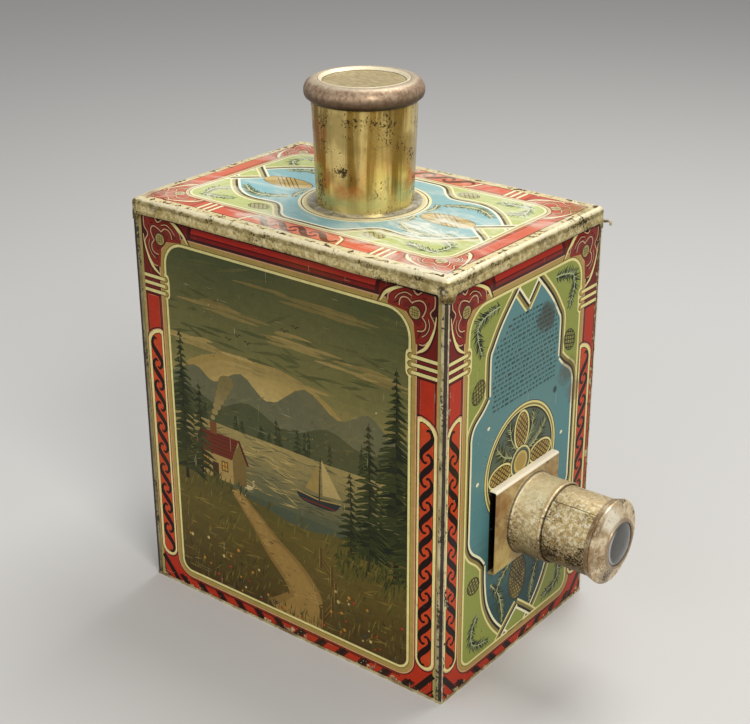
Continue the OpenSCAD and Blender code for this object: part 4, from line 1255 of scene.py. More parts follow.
def sky(art, flip):
    rng = art.random
    top, horizon = 176.0, 96.0
    rows = 20
    for k in range(rows):
        t = k / (rows - 1)
        z = top - (top - horizon) * t
        colour = art.blend("5A694C", "8E9268", min(1, t * 1.7))
        if t >= 0.6:
            colour = art.blend("8E9268", "D2C08A", (t - 0.6) / 0.4)
        edge = [(-70 + 140 * i / 8, z + rng.uniform(-1, 1)) for i in range(9)]
        art.shape(edge + [(70, horizon - 2), (-70, horizon - 2)], colour)
    for k in range(9):  # glow of the low sun
        t = k / 8
        art.oval(-14 * flip, 104, 46 * (1 - t) + 6, 22 * (1 - t) + 5, art.blend("BFAE78", "F0E2B0", t),
            points=28)
    dabs(art, 90, (-68, 68, 128, 174), 7.5, ("5E6A48", "757C56"), 0.06, 0.22)
    for x, z, wide in ((-38, 150, 24), (22, 162, 26), (46, 140, 20), (-50, 130, 18), (4, 143, 20),
            (-8, 126, 26)):
        shade = art.blend("D8C994", "77744C", (z - 126) / 50)
        for _ in range(15):  # clouds in thin layers
            dx, dz, long = rng.gauss(0, wide * 0.4), rng.gauss(0, 1.5), wide * rng.uniform(0.25, 0.6)
            spot = curve([(-long, 0), (-long * 0.4, 0.8), (long * 0.3, 0.9), (long, 0), (long * 0.2, -0.5),
                (-long * 0.5, -0.4)], 2, True)
            art.shape([(x * flip + dx + p.x, z + dz + p.y) for p in spot],
                art.blend(shade, "7F7B50", rng.uniform(0, 0.7)))
    art.oval(-14 * flip, 108, 5.2, 5.0, "F4EAC0", points=28)


def farShore(art, flip):
    rng = art.random
    hills = [(-70, 110), (-52, 119), (-40, 114), (-24, 122), (-8, 113), (12, 125), (30, 116), (46, 123),
        (58, 115), (70, 119)]
    ridge(art, 92, hills, flip, "7C8474")
    dabs(art, 60, (-68, 68, 104, 114), 3.6, ("727B6A", "8D9078"), 0.5, 0.3)
    hills = [(-70, 104), (-56, 108), (-38, 103), (-20, 109), (2, 102), (24, 110), (44, 105), (70, 112)]
    ridge(art, 90, hills, flip, "5C6750")
    dabs(art, 70, (-68, 68, 96, 104), 3.0, ("4E5A42", "76795A"), 0.2, 0.4)
    for _ in range(22):  # far trees
        x = rng.uniform(-68, 68)
        fir(art, x, 92 + rng.uniform(-1, 2), rng.uniform(7, 15), rng.uniform(2.0, 3.6), "2F3D2A", "5E6C46")


def water(art):
    rng = art.random
    for k in range(9):
        t = k / 8
        z = 94 - 30 * t
        edge = [(-70 + 140 * i / 6, z + rng.uniform(-0.4, 0.4)) for i in range(7)]
        art.shape(edge + [(70, 58), (-70, 58)], art.blend("B7AE82", "586B66", t))
    dabs(art, 130, (-56, 56, 66, 93), 6.0, ("8C9078", "4C5F5A"), 0.0, 0.09)
    dabs(art, 60, (-34, 6, 66, 93), 4.6, ("E6D9A6", "C9B980"), 0.0, 0.10)


def boat(art, flip):
    bx, bz = 18 * flip, 74
    art.shape(curve([(bx - 12, bz + 2.2), (bx - 8, bz - 1.8), (bx + 8, bz - 1.8), (bx + 13, bz + 3)], 4),
        "27384E")
    art.stroke([(bx - 12, bz + 2.3), (bx, bz + 1.4), (bx + 13, bz + 3.1)], 0.7, "C8B684")
    art.stroke([(bx - 9, bz - 0.9), (bx + 9.5, bz - 0.8)], 0.6, "8A2B20")
    art.stroke([(bx + 1, bz + 1), (bx + 2, bz + 22)], [0.8, 0.4], "4A371E")
    art.shape([(bx + 2.6, bz + 21), (bx + 3, bz + 4), (bx + 13, bz + 5.5)], "D9CCA0")
    art.shape([(bx + 1.0, bz + 19), (bx + 0.6, bz + 4), (bx - 6.5, bz + 5)], "B9A873")
    dabs(art, 26, (bx - 12, bx + 14, bz - 7, bz - 2.4), 3.0, ("2F4048", "6F7A6A"), 0.0, 0.12)
    for sx, sz in ((-30, 69.5), (-22, 67.6)):  # two swans
        sx *= flip
        art.oval(sx, sz, 2.6, 1.2, "EDE6CC", 0.12, 16)
        art.stroke(curve([(sx + 2.0, sz + 0.4), (sx + 3.4, sz + 2.2), (sx + 2.7, sz + 3.8),
            (sx + 3.8, sz + 4.2)], 3), 0.55, "EDE6CC")
        art.stroke([(sx - 2.6, sz - 1.6), (sx + 2.8, sz - 1.6)], 0.5, "A9A884")


def nearBank(art, flip):
    rng = art.random
    bank = [(-70, 76), (-58, 75), (-44, 71), (-30, 64), (-12, 61), (6, 58), (24, 60), (40, 64), (54, 71),
        (70, 74)]
    ridge(art, 4, bank, flip, "6E6A3A")
    for k in range(7):
        t = k / 6
        edge = [(-70 + 140 * i / 7, 56 - 44 * t + rng.uniform(-1.4, 1.4)) for i in range(8)]
        art.shape(edge + [(70, 4), (-70, 4)], art.blend("77703C", "5A4A28", t))
    dabs(art, 330, (-68, 68, 12, 64), 2.8, ("4E5228", "93894C"), 1.25, 0.3)
    dabs(art, 90, (-68, 68, 12, 58), 3.8, ("6D6232", "A8965A"), 0.1, 0.2)


def footpath(art, flip):
    rng = art.random
    path = curve([(-2, 4), (10, 18), (6, 30), (-8, 42), (-18, 52), (-30, 63)], 6)
    widths = [30 - 25 * (i / (len(path) - 1)) ** 0.7 for i in range(len(path))]
    art.stroke([(x * flip, z) for x, z in path], widths, "A48A58")
    art.stroke([(x * flip, z) for x, z in path], [w * 0.72 for w in widths], "BBA06A")
    for _ in range(90):
        i = rng.randrange(len(path) - 1)
        x, z = path[i]
        off = rng.uniform(-0.45, 0.45) * widths[i]
        art.oval((x + off) * flip, z + rng.uniform(-2, 2), rng.uniform(0.5, 2.2), rng.uniform(0.2, 0.6),
                 art.blend("7E6840", "D3BC84", rng.random()), 0, 6)


def cottage(art, flip):
    cx, cz = -40 * flip, 66
    art.rectangle(cx - 13, cx + 9, cz, cz + 13, "C9B583")
    art.shape([(cx + 9, cz), (cx + 17, cz + 1.4), (cx + 17, cz + 13), (cx + 13, cz + 21),
        (cx + 9, cz + 13)], "8F7E52")
    art.shape([(cx - 15, cz + 12), (cx - 10, cz + 23), (cx + 13, cz + 23), (cx + 8.6, cz + 12)], "7E2A1E")
    for k in range(5):
        z = cz + 13.5 + 1.9 * k
        art.stroke([(cx - 14.3 + k * 0.85, z), (cx + 9.2 + k * 0.8, z)], 0.35, "55190F")
    art.stroke([(cx + 13, cz + 23), (cx + 18.2, cz + 12)], 1.3, "5E2015")
    art.rectangle(cx - 4, cx, cz + 22, cz + 28, "8B5A3A")
    for k in range(7):  # smoke
        art.oval(cx - 2 + k * 1.5 * flip, cz + 30 + k * 3.2, 1.4 + k * 0.55, 1.2 + k * 0.4,
            art.blend("B8AE88", "8C8660", k / 7), 0.3, 12)
    for wx in (-9.5, 2.0):
        art.rectangle(cx + wx, cx + wx + 4, cz + 5, cz + 10, "4A3A20")
        art.rectangle(cx + wx + 0.5, cx + wx + 3.5, cz + 5.5, cz + 9.5, "E2B55A")
        art.stroke([(cx + wx + 2, cz + 5), (cx + wx + 2, cz + 10)], 0.4, "4A3A20")
        art.stroke([(cx + wx, cz + 7.5), (cx + wx + 4, cz + 7.5)], 0.35, "4A3A20")
    art.rectangle(cx - 3.6, cx + 0.2, cz, cz + 8, "4F3420")
    dabs(art, 60, (cx - 16, cx + 18, cz - 3, cz + 2), 2.2, ("3C4A26", "70743C"), 1.2, 0.35)


def nearFirs(art, flip):
    for x, z, tall, wide in ((-60, 60, 74, 15), (-50, 66, 46, 10), (60, 52, 96, 19), (46, 50, 70, 15),
            (36, 55, 40, 9), (66, 46, 60, 13)):
        fir(art, x * flip, z, tall, wide, "1C2A1C", "5F6E3A")
    dabs(art, 150, (28, 68, 44, 56) if flip > 0 else (-68, -28, 44, 56), 2.8, ("2E3A1E", "656B34"), 1.3,
        0.35)


def fence(art, flip):
    posts = [(20, 12), (25, 20), (27, 28), (25, 36), (19, 43)]
    for (x1, z1), (x2, z2) in zip(posts, posts[1:]):
        for up, thick in ((3.6, 0.9), (6.4, 0.9)):
            art.stroke([(x1 * flip, z1 + up), (x2 * flip, z2 + up * 0.85)], thick, "8A7448")
            art.stroke([(x1 * flip, z1 + up - 0.5), (x2 * flip, z2 + up * 0.85 - 0.5)], 0.35, "3A2A16")
    for x, z in posts:
        art.stroke([(x * flip, z - 1), (x * flip + 0.3, z + 9)], [1.5, 1.2], "5C4626")
        art.stroke([(x * flip - 0.5, z - 1), (x * flip - 0.3, z + 9)], 0.4, "A98F5C")


def meadow(art, flip):  # grass and flowers
    rng = art.random
    for _ in range(260):
        x = rng.uniform(-68, 68)
        z = rng.uniform(7, 30) if abs(x - 6 * flip) > 20 else rng.uniform(7, 14)
        tall = rng.uniform(2.5, 6.5) * (1.2 - z / 60)
        lean = rng.gauss(0, 0.9)
        art.shape([(x - 0.28, z), (x + 0.28, z), (x + lean, z + tall)],
            art.blend("26301A", "7F7C3E", rng.random()))
    for _ in range(70):
        x = rng.uniform(-66, 66)
        z = rng.uniform(11, 34)
        if abs(x - 6 * flip) < 18 and z > 14:
            continue
        colour = ("A8301E", "E8DDB4", "2C4264", "D69C3C")[rng.randrange(4)]
        size = rng.uniform(0.5, 1.0)
        art.oval(x, z, size, size, colour, 0, 6)
        art.oval(x + 0.1, z + 0.1, size * 0.35, size * 0.35, art.blend(colour, "F0E4B0", 0.5), 0, 4)


def birds(art, flip):
    for x, z in ((-30, 136), (-25, 139), (-19, 137), (2, 148), (8, 151)):
        x *= flip
        art.stroke(curve([(x - 2.2, z + 0.9), (x - 1, z + 1.2), (x, z), (x + 1, z + 1.2),
            (x + 2.2, z + 0.9)], 2), 0.35, "2C2A1C")


def landscape(art, flip=1):  # from the back to the front
    sky(art, flip)
    farShore(art, flip)
    water(art)
    boat(art, flip)
    nearBank(art, flip)
    footpath(art, flip)
    cottage(art, flip)
    nearFirs(art, flip)
    fence(art, flip)
    meadow(art, flip)
    birds(art, flip)


# walls

wallLook = {
    "halfLong": 83.9,
    "halfWide": 55.8,
    "low": 0.5,
    "high": 188.3,
    "thick": 0.5,
    "shoulder": 179.0,
    "neck": 183.2,
    "inset": 1.0,
    "margin": 15.0,
    "fade": 7.0,
    "ridge": 0.25,  # how far the wall leans out under its shoulder
}


def smoothStep(t):
    t = max(0.0, min(1.0, t))
    return t * t * (3 - 2 * t)


def pressed(u, v, half, look):  # how far the sheet lies in from its flat face
    run = smoothStep((half - look["margin"] + look["fade"] - abs(u)) / look["fade"])
    inward = look["inset"] * smoothStep((v - look["shoulder"]) / (look["neck"] - look["shoulder"]))
    outward = look["ridge"] * smoothStep((v - 174) / 5.5) * smoothStep((184 - v) / 4)
    return run * (inward - outward)


def addFolds(art, half, look):
    for v in (174, 175.5, 177, 178.2, 179.2, 180.0, 180.8, 181.6, 182.4, 183.2, 184.0):
        art.fold((-half, v), (half, v))
    for k in range(5):
        u = half - look["margin"] + look["fade"] * k / 4
        for side in (-1, 1):
            art.fold((side * u, 172), (side * u, look["high"]))


def wallOutline(half, look):
    return [(-half, look["low"]), (half, look["low"]), (half, look["high"]), (-half, look["high"])]


def lithoLook(across, half, **more):
    return {
        "across": across, "half": (half * mm, 56.2 * mm), "flat": False, "rough": 0.32, "yellowing": 0.12,
        "varnish": "8A7440",
        "brush": 0.12, "rub": 0.22, "rubWidth": 0.006, "tin": "C9BC92", "rust": "3A2412", "stains": [],
        "topShade": 0.0,
        "scuffs": [],
        **more,
    }


frontLitho = litho("frontLitho", lithoLook("y", 55.8, stains=[
    (83.9, 15, 153, 14, "3E3422", 0.7),
    (83.9, 33, 122, 13, "553A1C", 0.55),
    (83.9, 40, 110, 11, "64401E", 0.5),
]))
pictureLitho = litho("pictureLitho", lithoLook("x", 83.9, brush=0.5, topShade=0.26))
rearLitho = litho("rearLitho", lithoLook("y", 55.8))
hingeLitho = litho("hingeLitho", lithoLook("x", 83.9, brush=0.5, rub=0.26))

long, wide, thick = wallLook["halfLong"], wallLook["halfWide"], wallLook["thick"]


def addWall(name, node, art, finish, towards):  # towards: the way the wall faces, in X and Y
    c, s = towards
    half, away = (wide, long) if c else (long, wide)

    def place(u, v, inward):
        out = away - inward - pressed(u, v, half, wallLook)
        return ((out * c - u * s) * mm, (out * s + u * c) * mm, v * mm)

    addFolds(art, half - abs(c) * thick, wallLook)
    addPiece(name, art.panel(place, thick), [finish, innerTin], "case", [node])


art = Artwork(wallOutline(wide - thick, wallLook), "bare", 11, inks)
frontField(art, frontMotif)
wallBorder(art, 54.5, wide, borderLook, aside=2.2)
for y, z, r in frontWear["chips"]:
    art.oval(y, z, r, r * 0.8, "white", 0.3, 9)
y, z, r = frontWear["stain"]
art.oval(y, z, r, r * 1.1, art.blend("blueDark", "line", 0.4), 0.3, 9)
# painted shade: the wall behind the stage plate is drawn near black, for the dark gap between plate and
# wall
art.rectangle(-23.5, 23.5, 49.3, 87.3, ink("0A0805"))
for side in (-1, 1):
    art.stroke([(side * 55.05, 0), (side * 55.05, 190)], 0.6, "line")
art.oval(2.5, 67.6, 15.0, 15.0, None, points=96)
addWall("front_wall", "front_panel", art, frontLitho, (1, 0))

art = Artwork(wallOutline(long, wallLook), "bare", 23, inks)
landscape(art)
wallBorder(art, 79.5, long, borderLook)
addWall("picture_wall", "picture_panel", art, pictureLitho, (0, -1))

art = Artwork(wallOutline(wide - thick, wallLook), "bare", 37, inks)
frontField(art, frontMotif, False)
wallBorder(art, 54.5, wide, borderLook)
for row in range(2):
    for k in range(7):
        art.oval((k - 3) * 9.0, 14.0 + row * 9.0, 2.0, 2.0, None, points=24)
addWall("rear_wall", "rear_panel", art, rearLitho, (-1, 0))

art = Artwork(wallOutline(long, wallLook), "bare", 41, inks)
landscape(art, -1)
wallBorder(art, 79.5, long, borderLook)
addWall("hinge_wall", "hinge_panel", art, hingeLitho, (0, 1))
print("walls ready")

# lid

lidLook = {
    "halfLong": 85.0,
    "halfWide": 56.9,
    "top": 190.0,
    "edge": 2.2,  # radius of the upper edge
    "corner": 3.0,  # radius of the corners seen from above
    "rim": 6.6,
    "hem": 0.18,
    "tab": 5.0,
    "tabDrop": 2.8,
    "hole": 20.1,
    "thick": 0.5,
    "knocks": [(-83, -55, 0.9, 60), (40, -56, 0.45, 40)],  # x, y, depth, spread
}


def lidMotif(art):
    side = [(0, 38.6), (8, 38.6), (13.5, 38.2), (18, 35.6), (22.4, 30.6), (27, 26.6), (31, 25.8),
        (40, 26.6), (47.5, 25.2), (55, 20.8), (61.5, 14.8), (67.4, 8.5)]
    notch = [(57.4, 0), (62, 4.0), (67.4, 8.5)]
    art.shape(roundedBox(-70, 70, -39.6, 39.6, (9.0, 9.0)), "lime")
    quarter = curve(side, 4)
    right = quarter + [Vector((62, 4.0)), Vector((57.4, 0))]
    half = right + [Vector((p.x, -p.y)) for p in reversed(right[:-1])]
    art.shape(half, "blue")
    art.shape([(-p.x, p.y) for p in half], "blue")
    art.rectangle(-10, 10, -38.6, 38.6, "blue")
    for sx in (-1, 1):
        for sy in (-1, 1):
            sprig(art, scaled([(30, 14), (38, 19), (47, 19.5), (56, 14)], sx, sy), 3.4)
            sprig(art, scaled([(62, 33), (63.4, 26), (58, 21.5)], sx, sy), 3.4)
            sprig(art, scaled([(64, 34.5), (55, 34), (47, 31.5)], sx, sy), 3.2)
            pineCone(art, sx * 31, sy * 33, 5.0, 3.2, ground="coneGround")
        pineCone(art, sx * 43.5, 0, 6.2, 13.2, pi / 2)
        for sy in (1, -1):
            sprig(art, scaled([(29, 3), (30, 9), (28, 14)], sx, sy), 2.4)
    for sx in (-1, 1):
        for sy in (-1, 1):
            flip = sx * sy
            lineBundle(art, scaled(side + [(71.4, 4.6)], sx, sy), flip)
            lineBundle(art, scaled(notch + [(71.4, 12.2)], sx, sy), -flip)
    for r, colour in ((28.6, "cream"), (27.4, "line"), (26.9, "cream"), (26.0, "bare")):
        art.oval(0, 0, r, r, colour, points=96)


def lidBorder(art):
    frame = roundedBox(-72.6, 72.6, -42.2, 42.2, (11.5, 11.5))
    art.ring(roundedBox(-90, 90, -60, 60, (0.5, 0.5)), frame, "bare")
    art.ring(roundedBox(-80, 80, -51.2, 51.2, (0.3, 0.3)), frame, "red")
    for sy in (-1, 1):
        art.stroke([(-80, sy * 50.9), (80, sy * 50.9)], 0.6, "maroon")
        art.shape([(-24, sy * 50.6), (24, sy * 50.6), (24, sy * 42.6), (-24, sy * 42.6)], "orange")
        scrollRow(art, lambda a, c: (-22 + a, sy * (43 + c)), 44, 7.4, 10.6)
        for sx in (-1, 1):
            cornerFlower(art, sx * 80, sy * 51.2, -sx, -sy, (7.4 + 11.5, 9.0 + 11.5, 10.6), 0.92)
            art.stroke(curve(scaled([(21, 42.4), (24, 44.5), (26, 50.8)], sx, sy), 4), 1.2, "cream")
            art.stroke(curve(scaled([(22, 42.4), (25, 44.5), (27, 50.8)], sx, sy), 4), 0.5, "maroon")
            for x in (43.0, 46.2, 49.4):
                for width, colour in ((2.1, "maroon"), (1.45, "cream")):
                    art.stroke([(sx * x, sy * 51), (sx * x, sy * 42)], width, colour)
            art.stroke(scaled([(27, 43.2), (41.4, 43.2)], sx, sy), 0.5, "maroon")
    for sx in (-1, 1):
        art.stroke([(sx * 79.7, -51), (sx * 79.7, 51)], 0.6, "maroon")
        art.stroke([(sx * 73.4, -22), (sx * 73.4, 22)], 0.5, "maroon")
    frameLines(art, 72.6, -42.2, 42.2, (11.5, 11.5), [
        (0.0, 0.5, "maroon"), (0.5, 1.1, "pink"), (1.1, 2.0, "tan"), (2.0, 2.3, "olive"),
        (2.3, 3.4, "cream")])


def rolled(radius, angles):  # how far out and down a rolled edge runs
    return [(radius * sin(a), radius * (1 - cos(a))) for a in map(radians, angles)]


def makeUneven(bm, look):  # handling has left its marks in the sheet
    for vert in bm.verts:
        x, y, z = vert.co / mm
        calm = smoothStep((hypot(x, y) - 26) / 14) * smoothStep((70 - abs(y)) / 20)
        low = 0.35 * noise.noise(Vector((x / 34, y / 30, 1.7))) * calm
        knock = sum(deep * exp(-((x - a) ** 2 + (y - b) ** 2) / spread)
            for a, b, deep, spread in look["knocks"])
        wave = 0.16 * noise.noise(Vector((x / 11, y / 11, z / 9))) if z < look["top"] - 3 else 0
        vert.co.z += (min(0, low - 0.1) * 0.6 - knock) * mm
        if abs(x) > 84:
            vert.co.x += wave * mm
        if abs(y) > 55 and y < 50:
            vert.co.y += wave * mm


def addInside(bm, flat, look):  # straight down under the print, square to the sheet along the rim
    bm.normal_update()
    rims = [edge.link_loops[0] for edge in bm.edges if edge.is_boundary]
    faces = list(bm.faces)
    inside = {}
    for vert in list(bm.verts):
        way = Vector((0, 0, 1)) if vert in flat else vert.normal
        inside[vert] = bm.verts.new(vert.co - way * look["thick"] * mm)
    made = [[inside[vert] for vert in reversed(face.verts)] for face in faces]
    for corner in rims:
        a, b = corner.vert, corner.link_loop_next.vert
        made.append([b, a, inside[a], inside[b]])
    for corners in made:
        bm.faces.new(corners).material_index = 2


def buildLid(look):
    flatX, flatY = look["halfLong"] - look["edge"], look["halfWide"] - look["edge"]
    bend = look["corner"] - look["edge"]
    outline = roundedBox(-flatX, flatX, -flatY, flatY, (bend, bend), 5)
    tabX, tabY = look["halfLong"] - look["tab"], look["halfWide"] - look["tab"]
    full = []
    for a, b in zip(outline, outline[1:] + outline[:1]):  # more points where the tabs end
        full.append(a)
        if abs(a[1] - b[1]) < 1e-6:
            way = 1 if b[0] > a[0] else -1
            full += [(way * x, a[1]) for x in (-tabX, -tabX + 0.4, -60, -40, -20, 0, 20, 40, 60,
                tabX - 0.4, tabX)]
        elif abs(a[0] - b[0]) < 1e-6:
            way = 1 if b[1] > a[1] else -1
            full += [(a[0], way * y) for y in (-tabY, -tabY + 0.4, -34, -17, 0, 17, 34, tabY - 0.4, tabY)]
    art = Artwork(full, "bare", 5, lidInks)
    for i in range(17):
        for j in range(11):
            art.corners.append(Vector((-80 + i * 10.0, -52 + j * 10.4)))
    lidMotif(art)
    lidBorder(art)
    art.oval(0, 0, look["hole"], look["hole"], None, points=96)
    bm = art.sheet(lambda u, v: (u * mm, v * mm, look["top"] * mm))
    loop = [e for e in bm.edges if e.is_boundary and max(abs(e.verts[0].co.x), abs(e.verts[0].co.y)) > 0.03]
    flat = set(bm.verts)
    radius = look["edge"]
    steps = rolled(radius, (15, 30, 45, 60, 75, 90))
    steps += [(radius, 3.6), (radius, 5.0), (radius + look["hem"], 5.6),
              (radius + look["hem"], look["rim"] - 0.25), (radius, look["rim"])]
    before = 0.0
    for out, down in steps:
        verts, loop = extruded(bm, loop)
        for vert in verts:
            spot = Vector((vert.co.x, vert.co.y)) / mm
            x, y = (max(bend - side, min(side - bend, part)) for side, part in zip((flatX, flatY), spot))
            spot += (spot - Vector((x, y))).normalized() * (out - before)
            drop = down
            if (down >= look["rim"] - 0.3 and abs(spot.x) > tabX + 0.1 and abs(spot.y) > tabY + 0.1
                    and spot.y < look["halfWide"] - 1.5):
                drop += look["tabDrop"]
            vert.co = Vector((spot.x, spot.y, look["top"] - drop)) * mm
        before = out
    for face in bm.faces:
        face.material_index = 1 if face.calc_center_median().z < (look["top"] - 0.03) * mm else 0
    makeUneven(bm, look)
    addInside(bm, flat, look)
    return bm


lidLitho = litho("lidLitho", lithoLook("x", 84.5, flat=True, rub=0.30, rubWidth=0.009, rough=0.30,
    yellowing=0.16, scuff=0.52, haze="EEEDDC", varnish="D8CC9E", tin="D8CCA0", rust="5A3E22",
    scuffs=[(48, -12, 190, 36, 1.5), (30, -34, 190, 30, 0.9), (-20, -36, 190, 20, 0.5),
    (50, 30, 190, 26, 0.7)], stains=[(78, 45, 190, 14, "8C7440", 0.5), (-79, -48, 190, 10, "7A3A28", 0.5),
    (0, -23, 190, 6, "8A8674", 0.5)]))
addPiece("lid_top", buildLid(lidLook), [lidLitho, lidEdge, innerTin], "lid", ["lid_shell"],
    sharp=50)

hingeLook = {
    "y": 57.8, "z": 182.7, "outer": 1.16, "bore": 0.66, "pitch": 147.8 / 7, "gap": 0.4, "start": -73.9,
    "thick": 0.5,
}


def buildKnuckles(look, first, reach, down):
    whole = bmesh.new()
    for i in range(first, 7, 2):
        length = look["pitch"] - look["gap"]
        left = look["start"] + i * look["pitch"] + look["gap"] / 2
        bm = lathe([(look["bore"], 0), (look["outer"], 0), (look["outer"], length),
            (look["bore"], length)], 24)
        layAlongX(bm, left, look["y"], look["z"])
        made = bmesh.ops.create_cube(bm, size=1.0)["verts"]
        bmesh.ops.scale(bm, vec=(length * mm, reach * mm, look["thick"] * mm), verts=made)
        middle = ((left + length / 2) * mm, (look["y"] - reach / 2) * mm, (look["z"] + down) * mm)
        bmesh.ops.translate(bm, vec=middle, verts=made)
        mesh = meshFrom(bm, "part")
        whole.from_mesh(mesh)
        bpy.data.meshes.remove(mesh)
    return whole


ease(addPiece("wall_knuckles", buildKnuckles(hingeLook, 0, 2.6, -0.91), [lidEdge], "case"),
    0.08)
ease(addPiece("lid_knuckles", buildKnuckles(hingeLook, 1, 1.3, 0.91), [lidEdge], "lid"), 0.08)
wireSize = {
    "radius": 0.6, "left": -83.9, "right": 84.4, "y": 57.8, "z": 182.7,
    "tail": [(85.2, 57.85, 182.9), (85.9, 57.9, 183.2), (86.6, 57.9, 182.9), (87.0, 57.9, 182.2),
        (86.9, 57.9, 181.5)],
}


def buildWire(look):
    line = [(look["left"] + (look["right"] - look["left"]) * k / 12, look["y"], look["z"])
        for k in range(13)]
    line += look["tail"]
    path = [Vector(p) * mm for p in line]
    bm = bmesh.new()
    ring = bmesh.ops.create_circle(bm, cap_ends=True, radius=look["radius"] * mm, segments=16)["verts"]
    turn = Matrix.Translation(path[0]) @ Matrix.Rotation(pi / 2, 4, "Y")
    bmesh.ops.transform(bm, matrix=turn, verts=ring)
    edges = list(bm.edges)
    heading = Vector((1, 0, 0))
    for before, here in zip(path, path[1:]):
        verts, edges = extruded(bm, edges)
        edges = [edge for edge in edges if edge.is_boundary]
        bmesh.ops.translate(bm, vec=here - before, verts=verts)
        along = (here - before).normalized()
        turn = heading.rotation_difference(along).to_matrix()
        bmesh.ops.rotate(bm, cent=here, matrix=turn, verts=verts)
        heading = along
    bmesh.ops.contextual_create(bm, geom=edges)
    bmesh.ops.recalc_face_normals(bm, faces=bm.faces)
    return bm


addPiece("hinge_pin", buildWire(wireSize), [wireSteel], "case", ["hinge_wire"])
print("lid ready")

# corner seams: the long walls are folded round the short ones

seamSize = {"low": 1.2, "high": 180.0, "proud": 0.3, "strip": 2.75, "groove": 1.05, "ridge": 0.55,
    "levels": 46}


def buildSeam(look, sx, sy):
    out, strip, groove, ridge = look["proud"], look["strip"], look["groove"], look["ridge"]
    # plan, measured inwards from the corner: first along the long wall, then along the short one
    plan = [(strip, 0.0), (strip, -out * 0.8), (strip - 0.15, -out), (groove + 0.1, -out),
        (groove, -out * 0.8), (groove - 0.1, -0.05), (0.05, -0.05), (-0.06, 0.02), (-out * 0.9, 0.08),
        (-out, 0.18), (-out, ridge), (-out * 0.6, ridge + 0.1), (0.0, ridge + 0.1), (0.0, 0.3), (0.3, 0.0)]
    bm = bmesh.new()
    verts = [bm.verts.new(((83.9 - x) * mm, (55.8 - y) * mm, look["low"] * mm)) for x, y in plan]
    edges = [bm.edges.new(pair) for pair in zip(verts, verts[1:] + verts[:1])]
    bm.faces.new(verts)
    step = (look["high"] - look["low"]) / look["levels"]
    for _ in range(look["levels"]):
        verts, edges = extruded(bm, edges)
        bmesh.ops.translate(bm, vec=(0, 0, step * mm), verts=verts)
    bmesh.ops.contextual_create(bm, geom=edges)
    for vert in bm.verts:
        spot = Vector((vert.co.x * 300, vert.co.y * 300, vert.co.z / mm / 9 + sx * 7 + sy * 3))
        if vert.co.x > 0.08405 or vert.co.y > 0.0559:
            vert.co.x += 0.06 * mm * noise.noise(spot)
            vert.co.y += 0.06 * mm * noise.noise(spot + Vector((4, 4, 0)))
    bmesh.ops.scale(bm, vec=(sx, sy, 1), verts=bm.verts)
    bmesh.ops.recalc_face_normals(bm, faces=bm.faces)
    return bm


def seamFinishFrom(look):
    finish = Finish("seamFinish")
    x = finish.axes()[0]
    streak = finish.noise(160, 4, 0.6, (1, 1, 0.4))
    colour = finish.mix(finish.step(streak, 0.35, 0.62), look["deep"], look["pale"])
    colour = finish.mix(finish.step(finish.noise(90, 3), 0.5, 0.7) * 0.6, colour, look["stain"])
    crowd = (finish.noise(60, 2, shift=(0.3, 0.3, 0.3)) - 0.5) * 0.5
    colour = finish.mix(finish.step(x, -0.02, -0.08) * 0.65, colour, look["stain"])
    pits = finish.step(finish.noise(620, 4, 0.68) + crowd, 0.565, 0.60)
    colour = finish.mix(pits * 0.92, colour, look["pit"])
    far = abs(x) + (finish.noise(260, 2) - 0.5) * 0.0003
    inGroove = finish.step(far, look["grooveStart"], look["grooveStart"] + 0.0003)
    onRidge = finish.step(far, look["grooveEnd"], look["grooveEnd"] + 0.00008)
    # the dark groove of the seam is painted shade
    colour = finish.mix(inGroove * 0.95, colour, look["groove"])
    colour = finish.mix(onRidge * (1 - pits * 0.5), colour, look["ridge"])
    dark = inGroove - onRidge
    finish.put({
        "Base Color": colour,
        "Metallic": 0.3 * (1 - dark) * (1 - pits),
        "Roughness": 0.42 + dark * 0.3,
    })
    finish.bump(streak * 0.2 - pits * 0.15, 0.0004)
    return finish.material


seamLook = {
    # groove: the colour of the painted shade in the seam's groove
    "pale": "D2C89C", "deep": "9C8E5E", "stain": "5A4A28", "pit": "0C0804", "groove": "2A1C0A",
    "ridge": "DCC7AE", "grooveStart": 0.0824, "grooveEnd": 0.08405,
}
seamFinish = seamFinishFrom(seamLook)
for i, (sx, sy) in enumerate(((1, -1), (1, 1), (-1, -1), (-1, 1))):
    nodes = ["corner_seams"] if i == 0 else []
    bm = buildSeam(seamSize, sx, sy)
    addPiece(f"corner_seam_{i + 1}", bm, [seamFinish], "case", nodes, sharp=60)
print("seams ready")

# chimney and cap

chimneyLook = {
    "footRadius": 20.85, "capRadius": 22.25, "foot": 190.5, "capLow": 231.5, "top": 236.5, "thick": 0.5,
    "dents": 0.32,
    "collarRadius": 20.0, "collarLow": 186.5, "collarHigh": 198.0, "flangeRadius": 24.6, "flange": 190.0,
    "capHem": 234.3, "capOuter": 25.3, "capTop": 243.2, "capRound": 5.0, "discRadius": 19.2,
    "chamfer": 1.7, "recess": 1.3,
}


